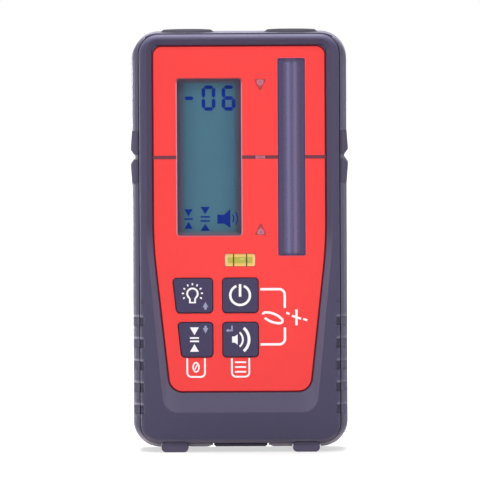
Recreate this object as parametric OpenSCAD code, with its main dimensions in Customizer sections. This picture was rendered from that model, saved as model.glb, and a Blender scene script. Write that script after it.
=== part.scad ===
/* [Housing] */
// Width across the side walls
body_w = 76; // [75:0.5:84]
// Height between the bottom and the top face
body_h = 146.8; // [145:0.2:165]
// Room between the battery bay and the board
board_room = 2.6; // [2:0.1:8]
// Corner radius seen from the front
corner_r = 9.5; // [8.5:0.5:11]
// Rounding along the back edges
back_edge_r = 4; // [3.5:0.5:5]
// Thickness of the rear shell's side walls with their soft skin
side_wall = 4.8; // [4.6:0.1:5.4]
// Thickness of the rear shell's back
back_wall = 1.8; // [1.6:0.1:2.4]
// Thickness of the front shell behind the panel
front_wall = 1.8; // [1.6:0.1:2.2]
// Depth of the skirt behind the front shell's wall
skirt = 1; // [0.8:0.1:1.4]

/* [Seam between the shells] */
// Width of the rear shell's lip along the sides
lip_w = 2.6; // [2.3:0.1:2.8]
// Height of the lip under the front shell
lip_under = 1.5; // [1.4:0.1:2]
// Step from the top face down to the front shell
lip_over = 0.5; // [0.3:0.1:0.8]
// How far the lip's front edge stays behind the rim's crest
lip_setback = 3.4; // [3:0.1:3.8]
// Gap of the seam
seam_gap = 0.25; // [0.15:0.05:0.35]
// Rounding along the front shell's outer edge
rim_edge_r = 1.9; // [1:0.1:2.2]
// Thickness of the seals
seal_t = 0.8; // [0.6:0.1:1]

/* [Front panel] */
// Distance of the panel's straight sides from the side walls
panel_margin = 7.3; // [7:0.1:8]
// Distance of the panel's foot from the side walls
panel_foot_margin = 13; // [12:0.1:14]
// Distance of the panel's top from the top face
panel_top_margin = 4.3; // [4:0.1:5]
// Height of the panel's foot above the bottom face
panel_foot_rise = 19.6; // [18:0.1:21]
// Height above the bottom face at which the panel starts to narrow
panel_bend_rise = 71.7; // [66:0.1:76]
// Depth of the panel's face behind the rim's crest
panel_recess = 2; // [1.6:0.1:2.4]
// Thickness of the panel
panel_t = 0.8; // [0.6:0.1:1]
// Width of the bevel along the top and the sides
bevel_w = 2.2; // [1.6:0.1:2.4]
// Height of the bevel below the panel's foot
bevel_foot = 7.4; // [5:0.1:9]

/* [Display and sensor] */
// Distance of the display's opening from the panel's top
lcd_top_gap = 11.85; // [11.5:0.05:20]
// Distance between the openings of the display and the vial
lcd_vial_gap = 6.45; // [5:0.05:14]
// Width of the display's opening
lcd_w = 22.7; // [18:0.1:24]
// Centre of the display, left of the middle
lcd_x = -10.65; // [-12:0.05:-9.5]
// Width of the sensor window
sensor_w = 9.65; // [7:0.05:10.5]
// Distance of the sensor window from the panel's top
sensor_top_gap = 4.6; // [4:0.1:9]
// Centre of the sensor window, right of the middle
sensor_x = 18.5; // [17.5:0.1:19]
// Centre of the light marks, right of the middle
led_x = 7.5; // [7:0.1:8.5]
// How far the outer light marks stay inside the display's ends
led_inset = 2.25; // [2:0.05:8]

/* [Level vial] */
// Width of the vial's opening
vial_w = 10.9; // [9:0.1:13]
// Height of the vial's opening
vial_h = 4.6; // [4:0.1:5.2]
// Gap between the upper keys and the vial
vial_gap = 4.1; // [3.5:0.1:8]

/* [Keys] */
// Width of the keys in the right column
key_w = 12.5; // [10:0.1:13.5]
// Height of every key
key_h = 12.2; // [9:0.1:12.6]
// Distance of the lower keys from the panel's foot
key_foot_gap = 12.5; // [8:0.1:14]
// Gap between the two rows
key_row_gap = 3.5; // [2.8:0.1:6]
// Gap between the two columns
key_column_gap = 3.6; // [2.8:0.1:5]
// How far the keys stand out of the panel
key_proud = 0.6; // [0.4:0.1:1]
// Travel of the keys
key_travel = 0.7; // [0.4:0.1:0.8]

/* [Battery bay] */
// Diameter of a cell
cell_d = 14.2; // [13.6:0.1:14.5]
// Length of a cell
cell_l = 50.5; // [49.2:0.1:50.6]
// Gap between the cells
cell_space = 1; // [0.6:0.1:2]
// Height of the bay's floor above the bottom face
bay_rise = 8.1; // [7.9:0.1:9]
// Width of the door
door_w = 42; // [38:0.5:46]
// Thickness of the door
door_t = 1.8; // [1.6:0.1:2.2]
// Width of the latch tongue under the bottom face
latch_w = 19; // [14:0.5:22]
// Diameter of the hinge pin
pin_d = 1.8; // [1.6:0.1:2.2]

/* [Back mount] */
// Outer diameter of the threaded insert
insert_od = 9; // [8:0.5:11]
// Inner diameter of the insert's thread
insert_bore = 5.1; // [4.1:0.1:5.5]
// Length of the insert
insert_l = 8; // [6:0.5:10]

/* [Magnets] */
// Distance of the magnets from the middle
magnet_x = 18.4; // [14:0.2:18.6]
// Diameter of the caps over the magnets
cap_d = 19; // [14:0.5:19.4]
// How far the caps stand out of the top face
cap_proud = 0.8; // [0.5:0.05:1.4]

/* [Feet] */
// Height of the feet below the bottom face
foot_h = 1.7; // [1.5:0.1:4]
// Width of a foot
foot_w = 9.6; // [7:0.1:11]
// Distance of the feet from the middle
foot_x = 23.3; // [20:0.1:24]

/* [Markers and grips] */
// Height of the marker pads on the sides
marker_h = 18.4; // [12:0.2:24]
// How far the marker pads stand out
marker_proud = 0.5; // [0.3:0.1:1]
// Width of the marker notch at its mouth
notch_w = 5.3; // [4:0.1:7]
// Depth of the marker notch
notch_depth = 1.3; // [0.8:0.1:1.6]
// Grip notches on each side
grip_count = 5; // [3:1:6]
// Distance between the grip notches
grip_pitch = 7.8; // [6:0.1:9]
// Height of the lowest grip notch above the bottom face
grip_rise = 13.5; // [12:0.1:16]

/* [Hidden] */
$fn = 64;

// How far a cut runs past the face that it opens
overrun = 1;
// Steps in a rounded corner of an outline
corner_steps = 8;

// Heights of the faces of the housing
base_u = foot_h;
top_u = foot_h + body_h;

// The depth holds door, cells, bay wall, board, front wall and panel
cell_gap = 0.2;
bay_gap = 0.4;
bay_wall = 1.2;
board_t = 1.6;
board_gap = 3.4;
cell_depth = door_t + cell_gap + cell_d + bay_gap + bay_wall;
board_depth = board_room + board_t + board_gap;
body_d = cell_depth + board_depth + front_wall + panel_t + panel_recess;

// Depths, counted towards the user from the middle of the housing
crest_f = body_d / 2;
rear_f = -crest_f;
back_in_f = rear_f + back_wall;
lip_f = crest_f - lip_setback;
panel_f = crest_f - panel_recess;
panel_back_f = panel_f - panel_t;
wall_back_f = panel_back_f - front_wall;
skirt_f = wall_back_f - skirt;
seal_float = 0.15;
ledge_f = skirt_f - seal_float;
seal_floor_f = skirt_f - seal_t;

// Housing and cavity outlines seen from the front
function housing_low(inset) = [inset - body_w / 2, base_u + inset];
function housing_high(inset) = [body_w / 2 - inset, top_u - inset];
front_low = [lip_w - body_w / 2, base_u + lip_under];
front_high = [body_w / 2 - lip_w, top_u - lip_over];
front_r = corner_r - lip_w;
cavity_r = corner_r - side_wall;
lip_end_share = 0.5;

// The seal lies in the middle of the ledge
seal_margin = 0.45;
seal_w = side_wall - lip_w - 2 * seal_margin;

// Panel outline and the crest of the bevel around it
panel_half = body_w / 2 - panel_margin;
panel_foot_half = body_w / 2 - panel_foot_margin;
panel_top_u = top_u - panel_top_margin;
panel_foot_u = base_u + panel_foot_rise;
panel_bend_u = base_u + panel_bend_rise;
panel_gap = 0.2;
panel_corner_r = 2.1;
panel_foot_r = 5;
panel_bend_r = 150;
crest_corner_r = 4.3;
crest_foot_r = 5.6;

// Keys, vial and display stand above each other from the panel's foot to its top
upper_key_rise = key_foot_gap + key_h + key_row_gap;
key_low_us = [panel_foot_u + key_foot_gap, panel_foot_u + upper_key_rise];
vial_u = key_low_us[1] + key_h + vial_gap + vial_h / 2;
lcd_low_u = vial_u + vial_h / 2 + lcd_vial_gap;
lcd_high_u = panel_top_u - lcd_top_gap;

// The receiving line runs through the middle of the display and the sensor window
mark_u = (lcd_low_u + lcd_high_u) / 2;
sensor_high_u = panel_top_u - sensor_top_gap;
sensor_h = 2 * (sensor_high_u - mark_u);
led_reach = lcd_high_u - led_inset - mark_u;

// Board with its fixings
boss_r = 3;
boss_gap = 0.7;
boss_len = 8.4;
board_edge_gap = 0.5;
board_front_f = wall_back_f - board_gap;
board_back_f = board_front_f - board_t;
screw_x = body_w / 2 - side_wall - boss_r - boss_gap;
screw_low_u = base_u + side_wall + boss_r + boss_gap;
screw_high_u = top_u - side_wall - boss_r - boss_gap;
screw_places = [for (x = [-screw_x, screw_x]) for (u = [screw_low_u, screw_high_u]) [x, u]];
board_half = screw_x - boss_r - board_edge_gap;
board_low_u = panel_foot_u;
board_high_u = panel_top_u - panel_corner_r;

// Case screws, with tubes in the rear shell that meet the front shell's bosses
tube_wall = 0.9;
tube_seat = 2;
case_screw_r = 1.25;
case_head_r = 2.3;
case_head_t = 2;
head_gap = 0.3;
thread_gap = 0.02;
tube_f = wall_back_f - boss_len;
seat_f = tube_f - tube_seat;
tube_r = case_head_r + head_gap + tube_wall;
case_screw_end = 1.6;

// Board screws
board_screw_r = 1;
board_head_r = 1.9;
board_head_t = 1.2;
board_boss_r = 2.5;
board_screw_end = 0.6;
board_screw_inset = 3;
board_foot_inset = 6;
board_screw_places = [[-board_half + board_screw_inset, board_high_u - board_screw_inset],
    [led_x, board_high_u - board_screw_inset],
    [-board_half + board_foot_inset, board_low_u + board_screw_inset],
    [board_half - board_foot_inset, board_low_u + board_screw_inset]];

// Display: lens in the front shell, glass and frame on the board
lens_t = 1;
lens_lap = 1.2;
fit_gap = 0.1;
lcd_r = 1;
lcd_side = 1.5;
lcd_end = 2.5;
lcd_t = 2;
backlight_t = 1.2;
frame_wall = 0.9;
frame_gap = 0.1;
strip_h = 1.8;
lcd_low = [lcd_x - lcd_w / 2, lcd_low_u];
lcd_high = [lcd_x + lcd_w / 2, lcd_high_u];
glass_low = lcd_low - [lcd_side, lcd_end];
glass_high = lcd_high + [lcd_side, lcd_end];
glass_back_f = board_front_f + backlight_t;
glass_front_f = glass_back_f + lcd_t;

// Sensor window: a flat plate with a convex band, held by a flange behind the wall
flange_w = 1;
flange_t = 1;
sensor_r = 0.6;
sensor_sink = 0.6;
sensor_band_w = 5.2;
sensor_band_h = 0.7;
sensor_low = [sensor_x - sensor_w / 2, sensor_high_u - sensor_h];
sensor_high = [sensor_x + sensor_w / 2, sensor_high_u];
diode_w = 4;
diode_h = 5;
diode_t = 0.8;
diode_count = 9;
diode_base_w = 6;

// Light marks
led_w = 3.9;
led_tall = 4;
led_r = 0.25;
led_mid_w = 3.2;
led_mid_h = 1.1;
chip_led_w = 2;
chip_led_h = 1.2;
chip_led_t = 0.9;

// Level vial
vial_x = 0.1;
vial_r = 0.8;
vial_sink = 0.3;
vial_back = 1.6;
vial_skin = 0.5;
vial_plug_l = 0.8;
vial_front_f = panel_f - vial_sink;
vial_back_f = wall_back_f - vial_back;
vial_axis_f = (vial_front_f + vial_back_f) / 2;
vial_bore_r = (vial_front_f - vial_back_f) / 2 - vial_skin;
vial_half = vial_w / 2 - fit_gap;

// Keys
key_margin = 5.65;
key_right_x = 0.15;
key_inner_x = key_right_x - key_w / 2 - key_column_gap;
key_r = 1.3;
key_gap = 0.25;
key_edge = 0.35;
key_flange = 0.9;
key_flange_t = 0.8;
key_play = 0.2;
stem_r = 1.5;
stem_gap = 0.2;
dome_r = 2.5;
dome_t = 0.5;
mat_t = 0.8;
mat_margin = 1.4;
mat_hole_r = 3;
mat_ring_w = 1;
mat_ring_t = 0.4;
key_flange_front_f = wall_back_f - key_play;
key_flange_back_f = key_flange_front_f - key_flange_t;
key_top_f = panel_f + key_proud;
stem_f = board_front_f + dome_t + key_travel + stem_gap;

// Battery bay, open to the back
bay_side = 0.6;
bay_end = 2;
tip_r = 2.6;
tip_l = 1.2;
cell_pitch = cell_d + cell_space;
cell_f = rear_f + door_t + cell_gap + cell_d / 2;
bay_half = (cell_pitch + cell_d) / 2 + bay_side;
bay_low_u = base_u + bay_rise;
bay_high_u = bay_low_u + cell_l + 2 * bay_end;
bay_front_f = cell_f + cell_d / 2 + bay_gap;
cell_low_u = bay_low_u + bay_end;
contact_t = 0.4;
contact_w = 11;
contact_depth = 11;
contact_touch = 0.1;
bump_r = 3;
tail_w = 3;
tail_gap = 0.2;

// Battery door with its hinge and latch tongue
door_gap = 0.3;
door_seal_margin = 0.5;
door_seal_w = 1.2;
barrel_r = 2.4;
barrel_gap = 0.4;
barrel_w = 24;
pin_gap = 0.05;
hinge_rise = 5.6;
door_foot_rise = 5.2;
swing_room = 1.8;
tongue_tip_t = 1.1;
tongue_tip_back = 0.4;
latch_notch = 0.7;
latch_notch_w = 1.9;
tongue_slant = 0.8;
groove_count = 5;
groove_w = 1.1;
groove_depth = 0.5;
groove_pitch = 2.4;
groove_rise = 6;
groove_inset = 9;
hinge_u = bay_high_u + hinge_rise;
hinge_f = rear_f + barrel_r;
hinge_floor_f = hinge_f + barrel_r + barrel_gap;
plate_low_u = base_u + door_foot_rise;
plate_high_u = hinge_u - barrel_r - barrel_gap;
tongue_f = skirt_f - tongue_tip_back;
frame_lap = 1.5;
door_ledge_t = 1.7;
door_ledge_f = rear_f + door_t + door_gap;
knuckle_w = (door_w - barrel_w) / 2 - door_gap;

// Back mount
insert_wall = 2.5;
insert_floor = 1.5;
insert_recess_r = 7;
insert_recess = 0.5;

// Magnets in the top wall
magnet_r = 8;
magnet_t = 2;
cap_sink = 0.95;
cap_gap = 0.1;
cap_slope = 1;
cap_edge = 0.5;
cap_rim = 1.4;
cap_dish = 0.35;
magnet_f = -1.5;

// Feet in pockets of the bottom wall
foot_sink = 2;
foot_gap = 0.15;
foot_round_share = 0.45;
foot_r = (foot_h + foot_sink) * foot_round_share;
foot_back = 3;
foot_front = 1.4;

// Buzzer on the inside of the back
buzzer_inset = 8;
buzzer_drop = 21;
buzzer_r = 8.5;
buzzer_t = 4.6;
buzzer_gap = 0.2;
buzzer_ring_w = 1.3;
buzzer_ring_t = 3;
buzzer_seal_w = 2;
buzzer_pin_r = 0.5;
buzzer_pin_pitch = 6;
slot_w = 1.2;
slot_l = 9;
slot_count = 3;
slot_pitch = 3;
buzzer_x = board_half - buzzer_inset;
buzzer_u = top_u - buzzer_drop;

// Parts on the back of the board
capacitor_inset = 8;
capacitor_r = 2.5;
capacitor_l = 6;
capacitor_pitch = 7;
capacitor_x = capacitor_inset - board_half;
chip_gap = 4.5;
chip_w = 10;
chip_t = 1.2;
chip_x = capacitor_x + capacitor_r + chip_gap + chip_w / 2;

// Marker pads and grip notches on the sides
marker_root = 0.8;
marker_edge = 0.4;
notch_floor_share = 0.34;
grip_r = 4.3;
grip_h = 3.2;
grip_out = 0.2;
grip_down = 0.4;

// Outlines made of corner points, each rounded by an arc
function unit(v) = v / norm(v);
function outward(a, b) = let (d = unit(b - a)) [d.y, -d.x];
function shift(a, b, c, by) =
    let (m = outward(a, b), n = outward(b, c)) b + (m + n) * by / (1 + m * n);
function near(list, i) = list[(i + len(list)) % len(list)];
function grown(points, by) =
    [for (i = [0 : len(points) - 1]) shift(near(points, i - 1), points[i], near(points, i + 1), by)];
function arc(a, b, c, r) =
    let (m = outward(a, b), n = outward(b, c), centre = shift(a, b, c, -r))
    let (start = atan2(m.y, m.x), turn = acos(m * n))
    [for (k = [0 : corner_steps])
        let (angle = start + turn * k / corner_steps) centre + r * [cos(angle), sin(angle)]];
function rounded(points, radii) =
    [for (i = [0 : len(points) - 1])
        each arc(near(points, i - 1), points[i], near(points, i + 1), radii[i])];
function outline(points, radii, by = 0) = rounded(grown(points, by), [for (r = radii) r + by]);
function corners(low, high) = [low, [high.x, low.y], high, [low.x, high.y]];

// The panel narrows towards its foot, and so does the crest of the bevel
panel_points = [[-panel_foot_half, panel_foot_u], [panel_foot_half, panel_foot_u],
    [panel_half, panel_bend_u], [panel_half, panel_top_u],
    [-panel_half, panel_top_u], [-panel_half, panel_bend_u]];
panel_radii = [panel_foot_r, panel_foot_r, panel_bend_r, panel_corner_r, panel_corner_r, panel_bend_r];
crest_points = [[-panel_foot_half - bevel_w, panel_foot_u - bevel_foot],
    [panel_foot_half + bevel_w, panel_foot_u - bevel_foot],
    [panel_half + bevel_w, panel_bend_u], [panel_half + bevel_w, panel_top_u + bevel_w],
    [-panel_half - bevel_w, panel_top_u + bevel_w], [-panel_half - bevel_w, panel_bend_u]];
crest_radii = [crest_foot_r, crest_foot_r, panel_bend_r, crest_corner_r, crest_corner_r, panel_bend_r];
function panel_edge(u) =
    panel_half - (panel_half - panel_foot_half) * (panel_bend_u - u) / (panel_bend_u - panel_foot_u);

// The left keys follow the panel's slanted edge, the right keys are square
function key_left_edge(u) = key_margin - panel_edge(u);
function left_key(row) = let (low = key_low_us[row], high = low + key_h)
    [[key_left_edge(low), low], [key_inner_x, low], [key_inner_x, high], [key_left_edge(high), high]];
function right_key(row) = let (low = key_low_us[row])
    corners([key_right_x - key_w / 2, low], [key_right_x + key_w / 2, low + key_h]);
key_shapes = [left_key(0), right_key(0), left_key(1), right_key(1)];
key_radii = [key_r, key_r, key_r, key_r];
function middle(points) = (points[0] + points[1] + points[2] + points[3]) / 4;

// The light marks are two arrows and a bar
function led_points(place) =
    let (u = mark_u + place * led_reach, half = led_w / 2, rise = place * led_tall / 2)
    place > 0 ? [[led_x, u - rise], [led_x + half, u + rise], [led_x - half, u + rise]] :
    place < 0 ? [[led_x, u - rise], [led_x - half, u + rise], [led_x + half, u + rise]] :
    corners([led_x - led_mid_w / 2, u - led_mid_h / 2], [led_x + led_mid_w / 2, u + led_mid_h / 2]);
led_radii = [led_r, led_r, led_r, led_r];

// Everything is drawn with x to the right, y up and z towards the user, and then stood upright
module upright() {
    rotate([90, 0, 0]) children();
}

// A plate with its child's outline between two depths
module plate(back, front) {
    translate([0, 0, back]) linear_extrude(front - back) children();
}

// A box between two opposite corners
module block(low, high) {
    translate(low) cube(high - low);
}

// A turned piece that stands along the height at a place on the top or bottom
module standing(x, u, f) {
    translate([x, u, f]) rotate([-90, 0, 0]) children();
}

// A round piece along the depth
module peg(place, r, back, front) {
    translate([place.x, place.y, back]) cylinder(h = front - back, r = r);
}

// A quarter of a disc
module quarter_disc(r) {
    intersection() {
        circle(r);
        square(r);
    }
}

// A rectangle with round corners between two opposite corners
module round_rect(low, high, r) {
    size = high - low;
    turned = [high - [r, r], [low.x + r, high.y - r], low + [r, r], [high.x - r, low.y + r]];
    translate([low.x + r, low.y]) square([size.x - 2 * r, size.y]);
    translate([low.x, low.y + r]) square([size.x, size.y - 2 * r]);
    for (k = [0 : 3])
        translate(turned[k]) rotate(k * 90) quarter_disc(r);
}

// A frame between a rounded opening and the same opening grown by a width
module ring(low, high, r, w, back, front) {
    difference() {
        plate(back, front) round_rect(low - [w, w], high + [w, w], r + w);
        plate(back - overrun, front + overrun) round_rect(low, high, r);
    }
}

// One straight edge and the corner at its end, from the child's profile
module edge_and_corner(across, along) {
    translate([across, along, 0]) {
        rotate([90, 0, 0]) linear_extrude(2 * along) children();
        rotate_extrude(angle = 90) children();
    }
}

// A rounded slab whose edges have the child's profile: its x runs outwards, its y along the depth
module moulded_slab(low, high, r, back, front) {
    centre = (low + high) / 2;
    half = (high - low) / 2 - [r, r];
    translate(centre) {
        block([-half.x, -half.y, back], [half.x, half.y, front]);
        for (turn = [0, 180])
            rotate(turn) {
                edge_and_corner(half.x, half.y) children();
                rotate(90) edge_and_corner(half.y, half.x) children();
            }
    }
}

// A wall's edge seen from its end, with a round front edge and a round or square back edge
module edge_profile(r, back, front, back_r, front_r) {
    translate([0, back + back_r]) square([r, front - front_r - back - back_r]);
    translate([0, front - front_r]) square([r - front_r, front_r]);
    translate([r - front_r, front - front_r]) quarter_disc(front_r);
    if (back_r > 0) {
        translate([0, back]) square([r - back_r, back_r]);
        translate([r - back_r, back + back_r]) rotate(-90) quarter_disc(back_r);
    }
}

// A solid through a stack of outlines that have as many points each
module loft(depths, outlines) {
    n = len(outlines[0]);
    last = (len(outlines) - 1) * n;
    points = [for (k = [0 : len(outlines) - 1]) for (p = outlines[k]) [p.x, p.y, depths[k]]];
    sides = [for (k = [0 : len(outlines) - 2]) for (i = [0 : n - 1])
        let (a = k * n + i, b = k * n + (i + 1) % n) each [[a, a + n, b + n], [a, b + n, b]]];
    lids = [for (i = [1 : n - 2]) each [[0, i, i + 1], [last, last + i + 1, last + i]]];
    polyhedron(points, concat(sides, lids));
}

// The rear shell's outer form, or the same form set in by a wall
module rear_form(inset) {
    moulded_slab(housing_low(inset), housing_high(inset), corner_r - inset, rear_f + inset, lip_f)
        edge_profile(corner_r - inset, rear_f + inset, lip_f, back_edge_r - inset, lip_w);
}

// The recess for the panel: its seat, the bevel and the way out
module panel_recess_cut() {
    seat = outline(panel_points, panel_radii, panel_gap);
    crest = outline(crest_points, crest_radii);
    loft([panel_back_f, panel_f, crest_f, crest_f + overrun], [seat, seat, crest, crest]);
}

// Openings that the panel and the wall behind it share
module face_openings(back, front) {
    plate(back, front) round_rect(lcd_low, lcd_high, lcd_r);
    plate(back, front) round_rect(sensor_low, sensor_high, sensor_r);
    plate(back, front) round_rect([vial_x - vial_w / 2, vial_u - vial_h / 2],
        [vial_x + vial_w / 2, vial_u + vial_h / 2], vial_r);
    for (points = key_shapes)
        plate(back, front) polygon(outline(points, key_radii, key_gap));
    for (place = [-1, 0, 1])
        plate(back, front) polygon(outline(led_points(place), led_radii, fit_gap));
}

// Shallow notches across the seam on the lower sides
module grip_notches() {
    for (side = [-1, 1])
        for (k = [0 : grip_count - 1])
            translate([side * (body_w / 2 + grip_out), base_u + grip_rise + k * grip_pitch, crest_f - grip_down])
                rotate([90, 0, 0]) cylinder(r = grip_r, h = grip_h, center = true);
}

module front_shell() {
    chin_low = [-board_half + boss_gap, base_u + side_wall + boss_gap];
    chin_high = [board_half - boss_gap, panel_foot_u - bevel_foot];
    color("#54506a") upright() difference() {
        union() {
            difference() {
                moulded_slab(front_low, front_high, front_r, skirt_f, crest_f)
                    edge_profile(front_r, skirt_f, crest_f, 0, rim_edge_r);
                plate(skirt_f - overrun, wall_back_f)
                    round_rect(housing_low(side_wall), housing_high(side_wall), cavity_r);
                plate(skirt_f, crest_f - front_wall) round_rect(chin_low, chin_high, lcd_r);
            }
            for (place = screw_places)
                peg(place, boss_r, tube_f, wall_back_f);
            for (place = board_screw_places)
                peg(place, board_boss_r, board_front_f, wall_back_f);
        }
        panel_recess_cut();
        face_openings(wall_back_f - overrun, panel_f);
        plate(wall_back_f - overrun, wall_back_f + lens_t)
            round_rect(lcd_low - [lens_lap, lens_lap], lcd_high + [lens_lap, lens_lap], lcd_r);
        for (place = screw_places)
            peg(place, case_screw_r + thread_gap, tube_f - overrun, wall_back_f);
        for (place = board_screw_places)
            peg(place, board_screw_r + thread_gap, board_front_f - overrun, wall_back_f);
        foot_pockets(foot_gap);
        grip_notches();
    }
}

// The room for the front shell, its seal and everything behind them
module shell_room() {
    plate(ledge_f, crest_f) round_rect(front_low - [seam_gap, seam_gap],
        front_high + [seam_gap, seam_gap], front_r + seam_gap);
    lip_end = body_w / 2 - corner_r * lip_end_share;
    block([-lip_end, top_u - corner_r, ledge_f], [lip_end, top_u + overrun, crest_f]);
    plate(back_in_f, crest_f) round_rect(housing_low(side_wall), housing_high(side_wall), cavity_r);
    ring(housing_low(side_wall - seal_margin), housing_high(side_wall - seal_margin),
        cavity_r + seal_margin, seal_w, seal_floor_f, crest_f);
}

// The door's outline: plate, hinge strap and latch tongue, grown by a gap
module door_zone(gap) {
    deep_f = rear_f + back_edge_r;
    block([-door_w / 2 - gap, plate_low_u - gap, rear_f - overrun],
        [door_w / 2 + gap, plate_high_u + gap, deep_f]);
    block([-barrel_w / 2 - gap, plate_high_u - gap, rear_f - overrun],
        [barrel_w / 2 + gap, hinge_u, deep_f]);
    block([-latch_w / 2 - gap, base_u - overrun, rear_f - overrun],
        [latch_w / 2 + gap, plate_low_u + door_t, tongue_f + gap]);
    block([-latch_w / 2 - gap, base_u - overrun, tongue_f],
        [latch_w / 2 + gap, base_u + tongue_tip_t + gap, lip_f + gap]);
}

// Walls and posts inside the rear shell
module rear_inner_walls() {
    block([-bay_half - bay_wall, base_u + side_wall - bay_wall, back_in_f - bay_wall],
        [bay_half + bay_wall, bay_high_u + bay_wall, bay_front_f + bay_wall]);
    block([-door_w / 2 - frame_lap, base_u + side_wall - bay_wall, back_in_f - bay_wall],
        [door_w / 2 + frame_lap, hinge_u, door_ledge_f + door_ledge_t]);
    block([-door_w / 2 - frame_lap - door_gap, plate_high_u - bay_wall, back_in_f - bay_wall],
        [door_w / 2 + frame_lap + door_gap, hinge_u + barrel_r + swing_room + bay_wall,
        hinge_floor_f + bay_wall]);
    for (place = screw_places)
        peg(place, tube_r, back_in_f - bay_wall, tube_f);
    peg([0, mark_u], insert_od / 2 + insert_wall, back_in_f - bay_wall, rear_f + insert_l + insert_floor);
    difference() {
        peg([buzzer_x, buzzer_u], buzzer_r + buzzer_gap + buzzer_ring_w, back_in_f - bay_wall,
            back_in_f + buzzer_ring_t);
        peg([buzzer_x, buzzer_u], buzzer_r + buzzer_gap, back_in_f, back_in_f + buzzer_ring_t + overrun);
    }
}

// The right side's wall and lip beside the receiving line, set in or out
module side_form(inset) {
    translate([body_w / 2 - corner_r, mark_u + marker_h / 2 + overrun, 0]) rotate([90, 0, 0])
        linear_extrude(marker_h + 2 * overrun)
            edge_profile(corner_r - inset, rear_f + inset, lip_f, back_edge_r - inset, lip_w);
}

// The right marker's room: a skin over the wall and the lip, which rises towards its notch
module marker_form() {
    out = body_w / 2 + marker_proud;
    inner = body_w / 2 - lip_w + seam_gap;
    half = marker_h / 2;
    difference() {
        intersection() {
            side_form(-marker_proud);
            plate(rear_f + back_edge_r + marker_edge, crest_f)
                polygon([[inner, mark_u - half], [body_w / 2, mark_u - half], [out, mark_u - notch_w / 2],
                    [out, mark_u + notch_w / 2], [body_w / 2, mark_u + half], [inner, mark_u + half]]);
        }
        side_form(marker_root);
    }
}

// The notch at the receiving line, cut into the right side
module marker_notch() {
    out = body_w / 2 + marker_proud;
    floor_half = notch_w * notch_floor_share / 2;
    mouth_half = notch_w / 2 * (1 + overrun / notch_depth) - floor_half * overrun / notch_depth;
    plate(rear_f - overrun, crest_f)
        polygon([[out - notch_depth, mark_u - floor_half], [out + overrun, mark_u - mouth_half],
            [out + overrun, mark_u + mouth_half], [out - notch_depth, mark_u + floor_half]]);
}

// The hinge's trough, with room for the door to swing up
module hinge_trough() {
    block([-door_w / 2 - door_gap, plate_high_u, rear_f - overrun],
        [door_w / 2 + door_gap, hinge_u + barrel_r + swing_room, hinge_floor_f]);
}

// A knuckle of the rear shell beside the door's barrel
module knuckle() {
    start = barrel_w / 2 + door_gap;
    difference() {
        union() {
            translate([start, hinge_u, hinge_f]) rotate([0, 90, 0]) cylinder(h = knuckle_w, r = barrel_r);
            block([start, hinge_u - barrel_r, hinge_f],
                [start + knuckle_w, hinge_u + barrel_r, hinge_floor_f + bay_wall / 2]);
        }
        translate([start - overrun, hinge_u, hinge_f]) rotate([0, 90, 0])
            cylinder(h = knuckle_w + 2 * overrun, r = pin_d / 2 + thread_gap);
    }
}

// Pockets for the magnets and their caps in the top wall
module magnet_pockets() {
    for (side = [-1, 1]) {
        standing(side * magnet_x, top_u - cap_sink, magnet_f)
            cylinder(h = cap_sink + overrun, d = cap_d + 2 * cap_gap);
        standing(side * magnet_x, top_u - cap_sink - magnet_t, magnet_f)
            cylinder(h = magnet_t + overrun, r = magnet_r + cap_gap);
    }
}

// Pockets for the feet, open at the front, with a gap above the feet or none where they are seated
module foot_pockets(gap) {
    half = foot_w / 2 + foot_gap;
    for (side = [-1, 1])
        plate(rear_f + foot_back - foot_gap, crest_f)
            round_rect([side * foot_x - half, -overrun],
                [side * foot_x + half, base_u + foot_sink + gap], foot_r);
}

// Slanted notches at both ends of the latch tongue
module latch_notches() {
    edge = latch_w / 2;
    inner = edge + door_gap;
    outer = inner + latch_notch_w;
    for (side = [-1, 1])
        plate(rear_f + back_edge_r, crest_f)
            polygon([[side * edge, base_u - overrun], [side * outer, base_u - overrun],
                [side * outer, base_u], [side * inner, base_u + latch_notch],
                [side * edge, base_u + latch_notch]]);
}

// Passages through the bay's front wall for the contacts' tails
module tail_slots() {
    for (side = [-1, 1])
        block([side * cell_pitch / 2 - tail_w / 2 - tail_gap, bay_high_u - contact_t - 2 * tail_gap,
            bay_front_f - overrun],
            [side * cell_pitch / 2 + tail_w / 2 + tail_gap, bay_high_u, bay_front_f + bay_wall + overrun]);
}

module rear_shell() {
    color("#54506a") upright() {
        difference() {
            union() {
                difference() {
                    rear_form(0);
                    shell_room();
                }
                rear_inner_walls();
            }
            for (side = [0, 1])
                mirror([side, 0, 0]) {
                    marker_form();
                    marker_notch();
                }
            block([-bay_half, bay_low_u, rear_f - overrun], [bay_half, bay_high_u, bay_front_f]);
            difference() {
                door_zone(door_gap);
                rear_form(door_t + door_gap);
            }
            ring([-bay_half - door_seal_margin, bay_low_u - door_seal_margin],
                [bay_half + door_seal_margin, bay_high_u + door_seal_margin], door_seal_margin, door_seal_w,
                rear_f, door_ledge_f + seal_t - seal_float);
            hinge_trough();
            for (place = screw_places) {
                peg(place, case_head_r + head_gap, rear_f - overrun, seat_f);
                peg(place, case_screw_r + head_gap, seat_f - overrun, tube_f + overrun);
            }
            peg([0, mark_u], insert_od / 2, rear_f - overrun, rear_f + insert_l);
            peg([0, mark_u], insert_recess_r, rear_f - overrun, rear_f + insert_recess);
            for (k = [0 : slot_count - 1])
                translate([buzzer_x + (k - (slot_count - 1) / 2) * slot_pitch, buzzer_u, rear_f - overrun])
                    linear_extrude(back_wall + 2 * overrun) square([slot_w, slot_l], center = true);
            magnet_pockets();
            foot_pockets(0);
            latch_notches();
            tail_slots();
            grip_notches();
        }
        for (side = [0, 1])
            mirror([side, 0, 0]) knuckle();
    }
}

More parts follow.
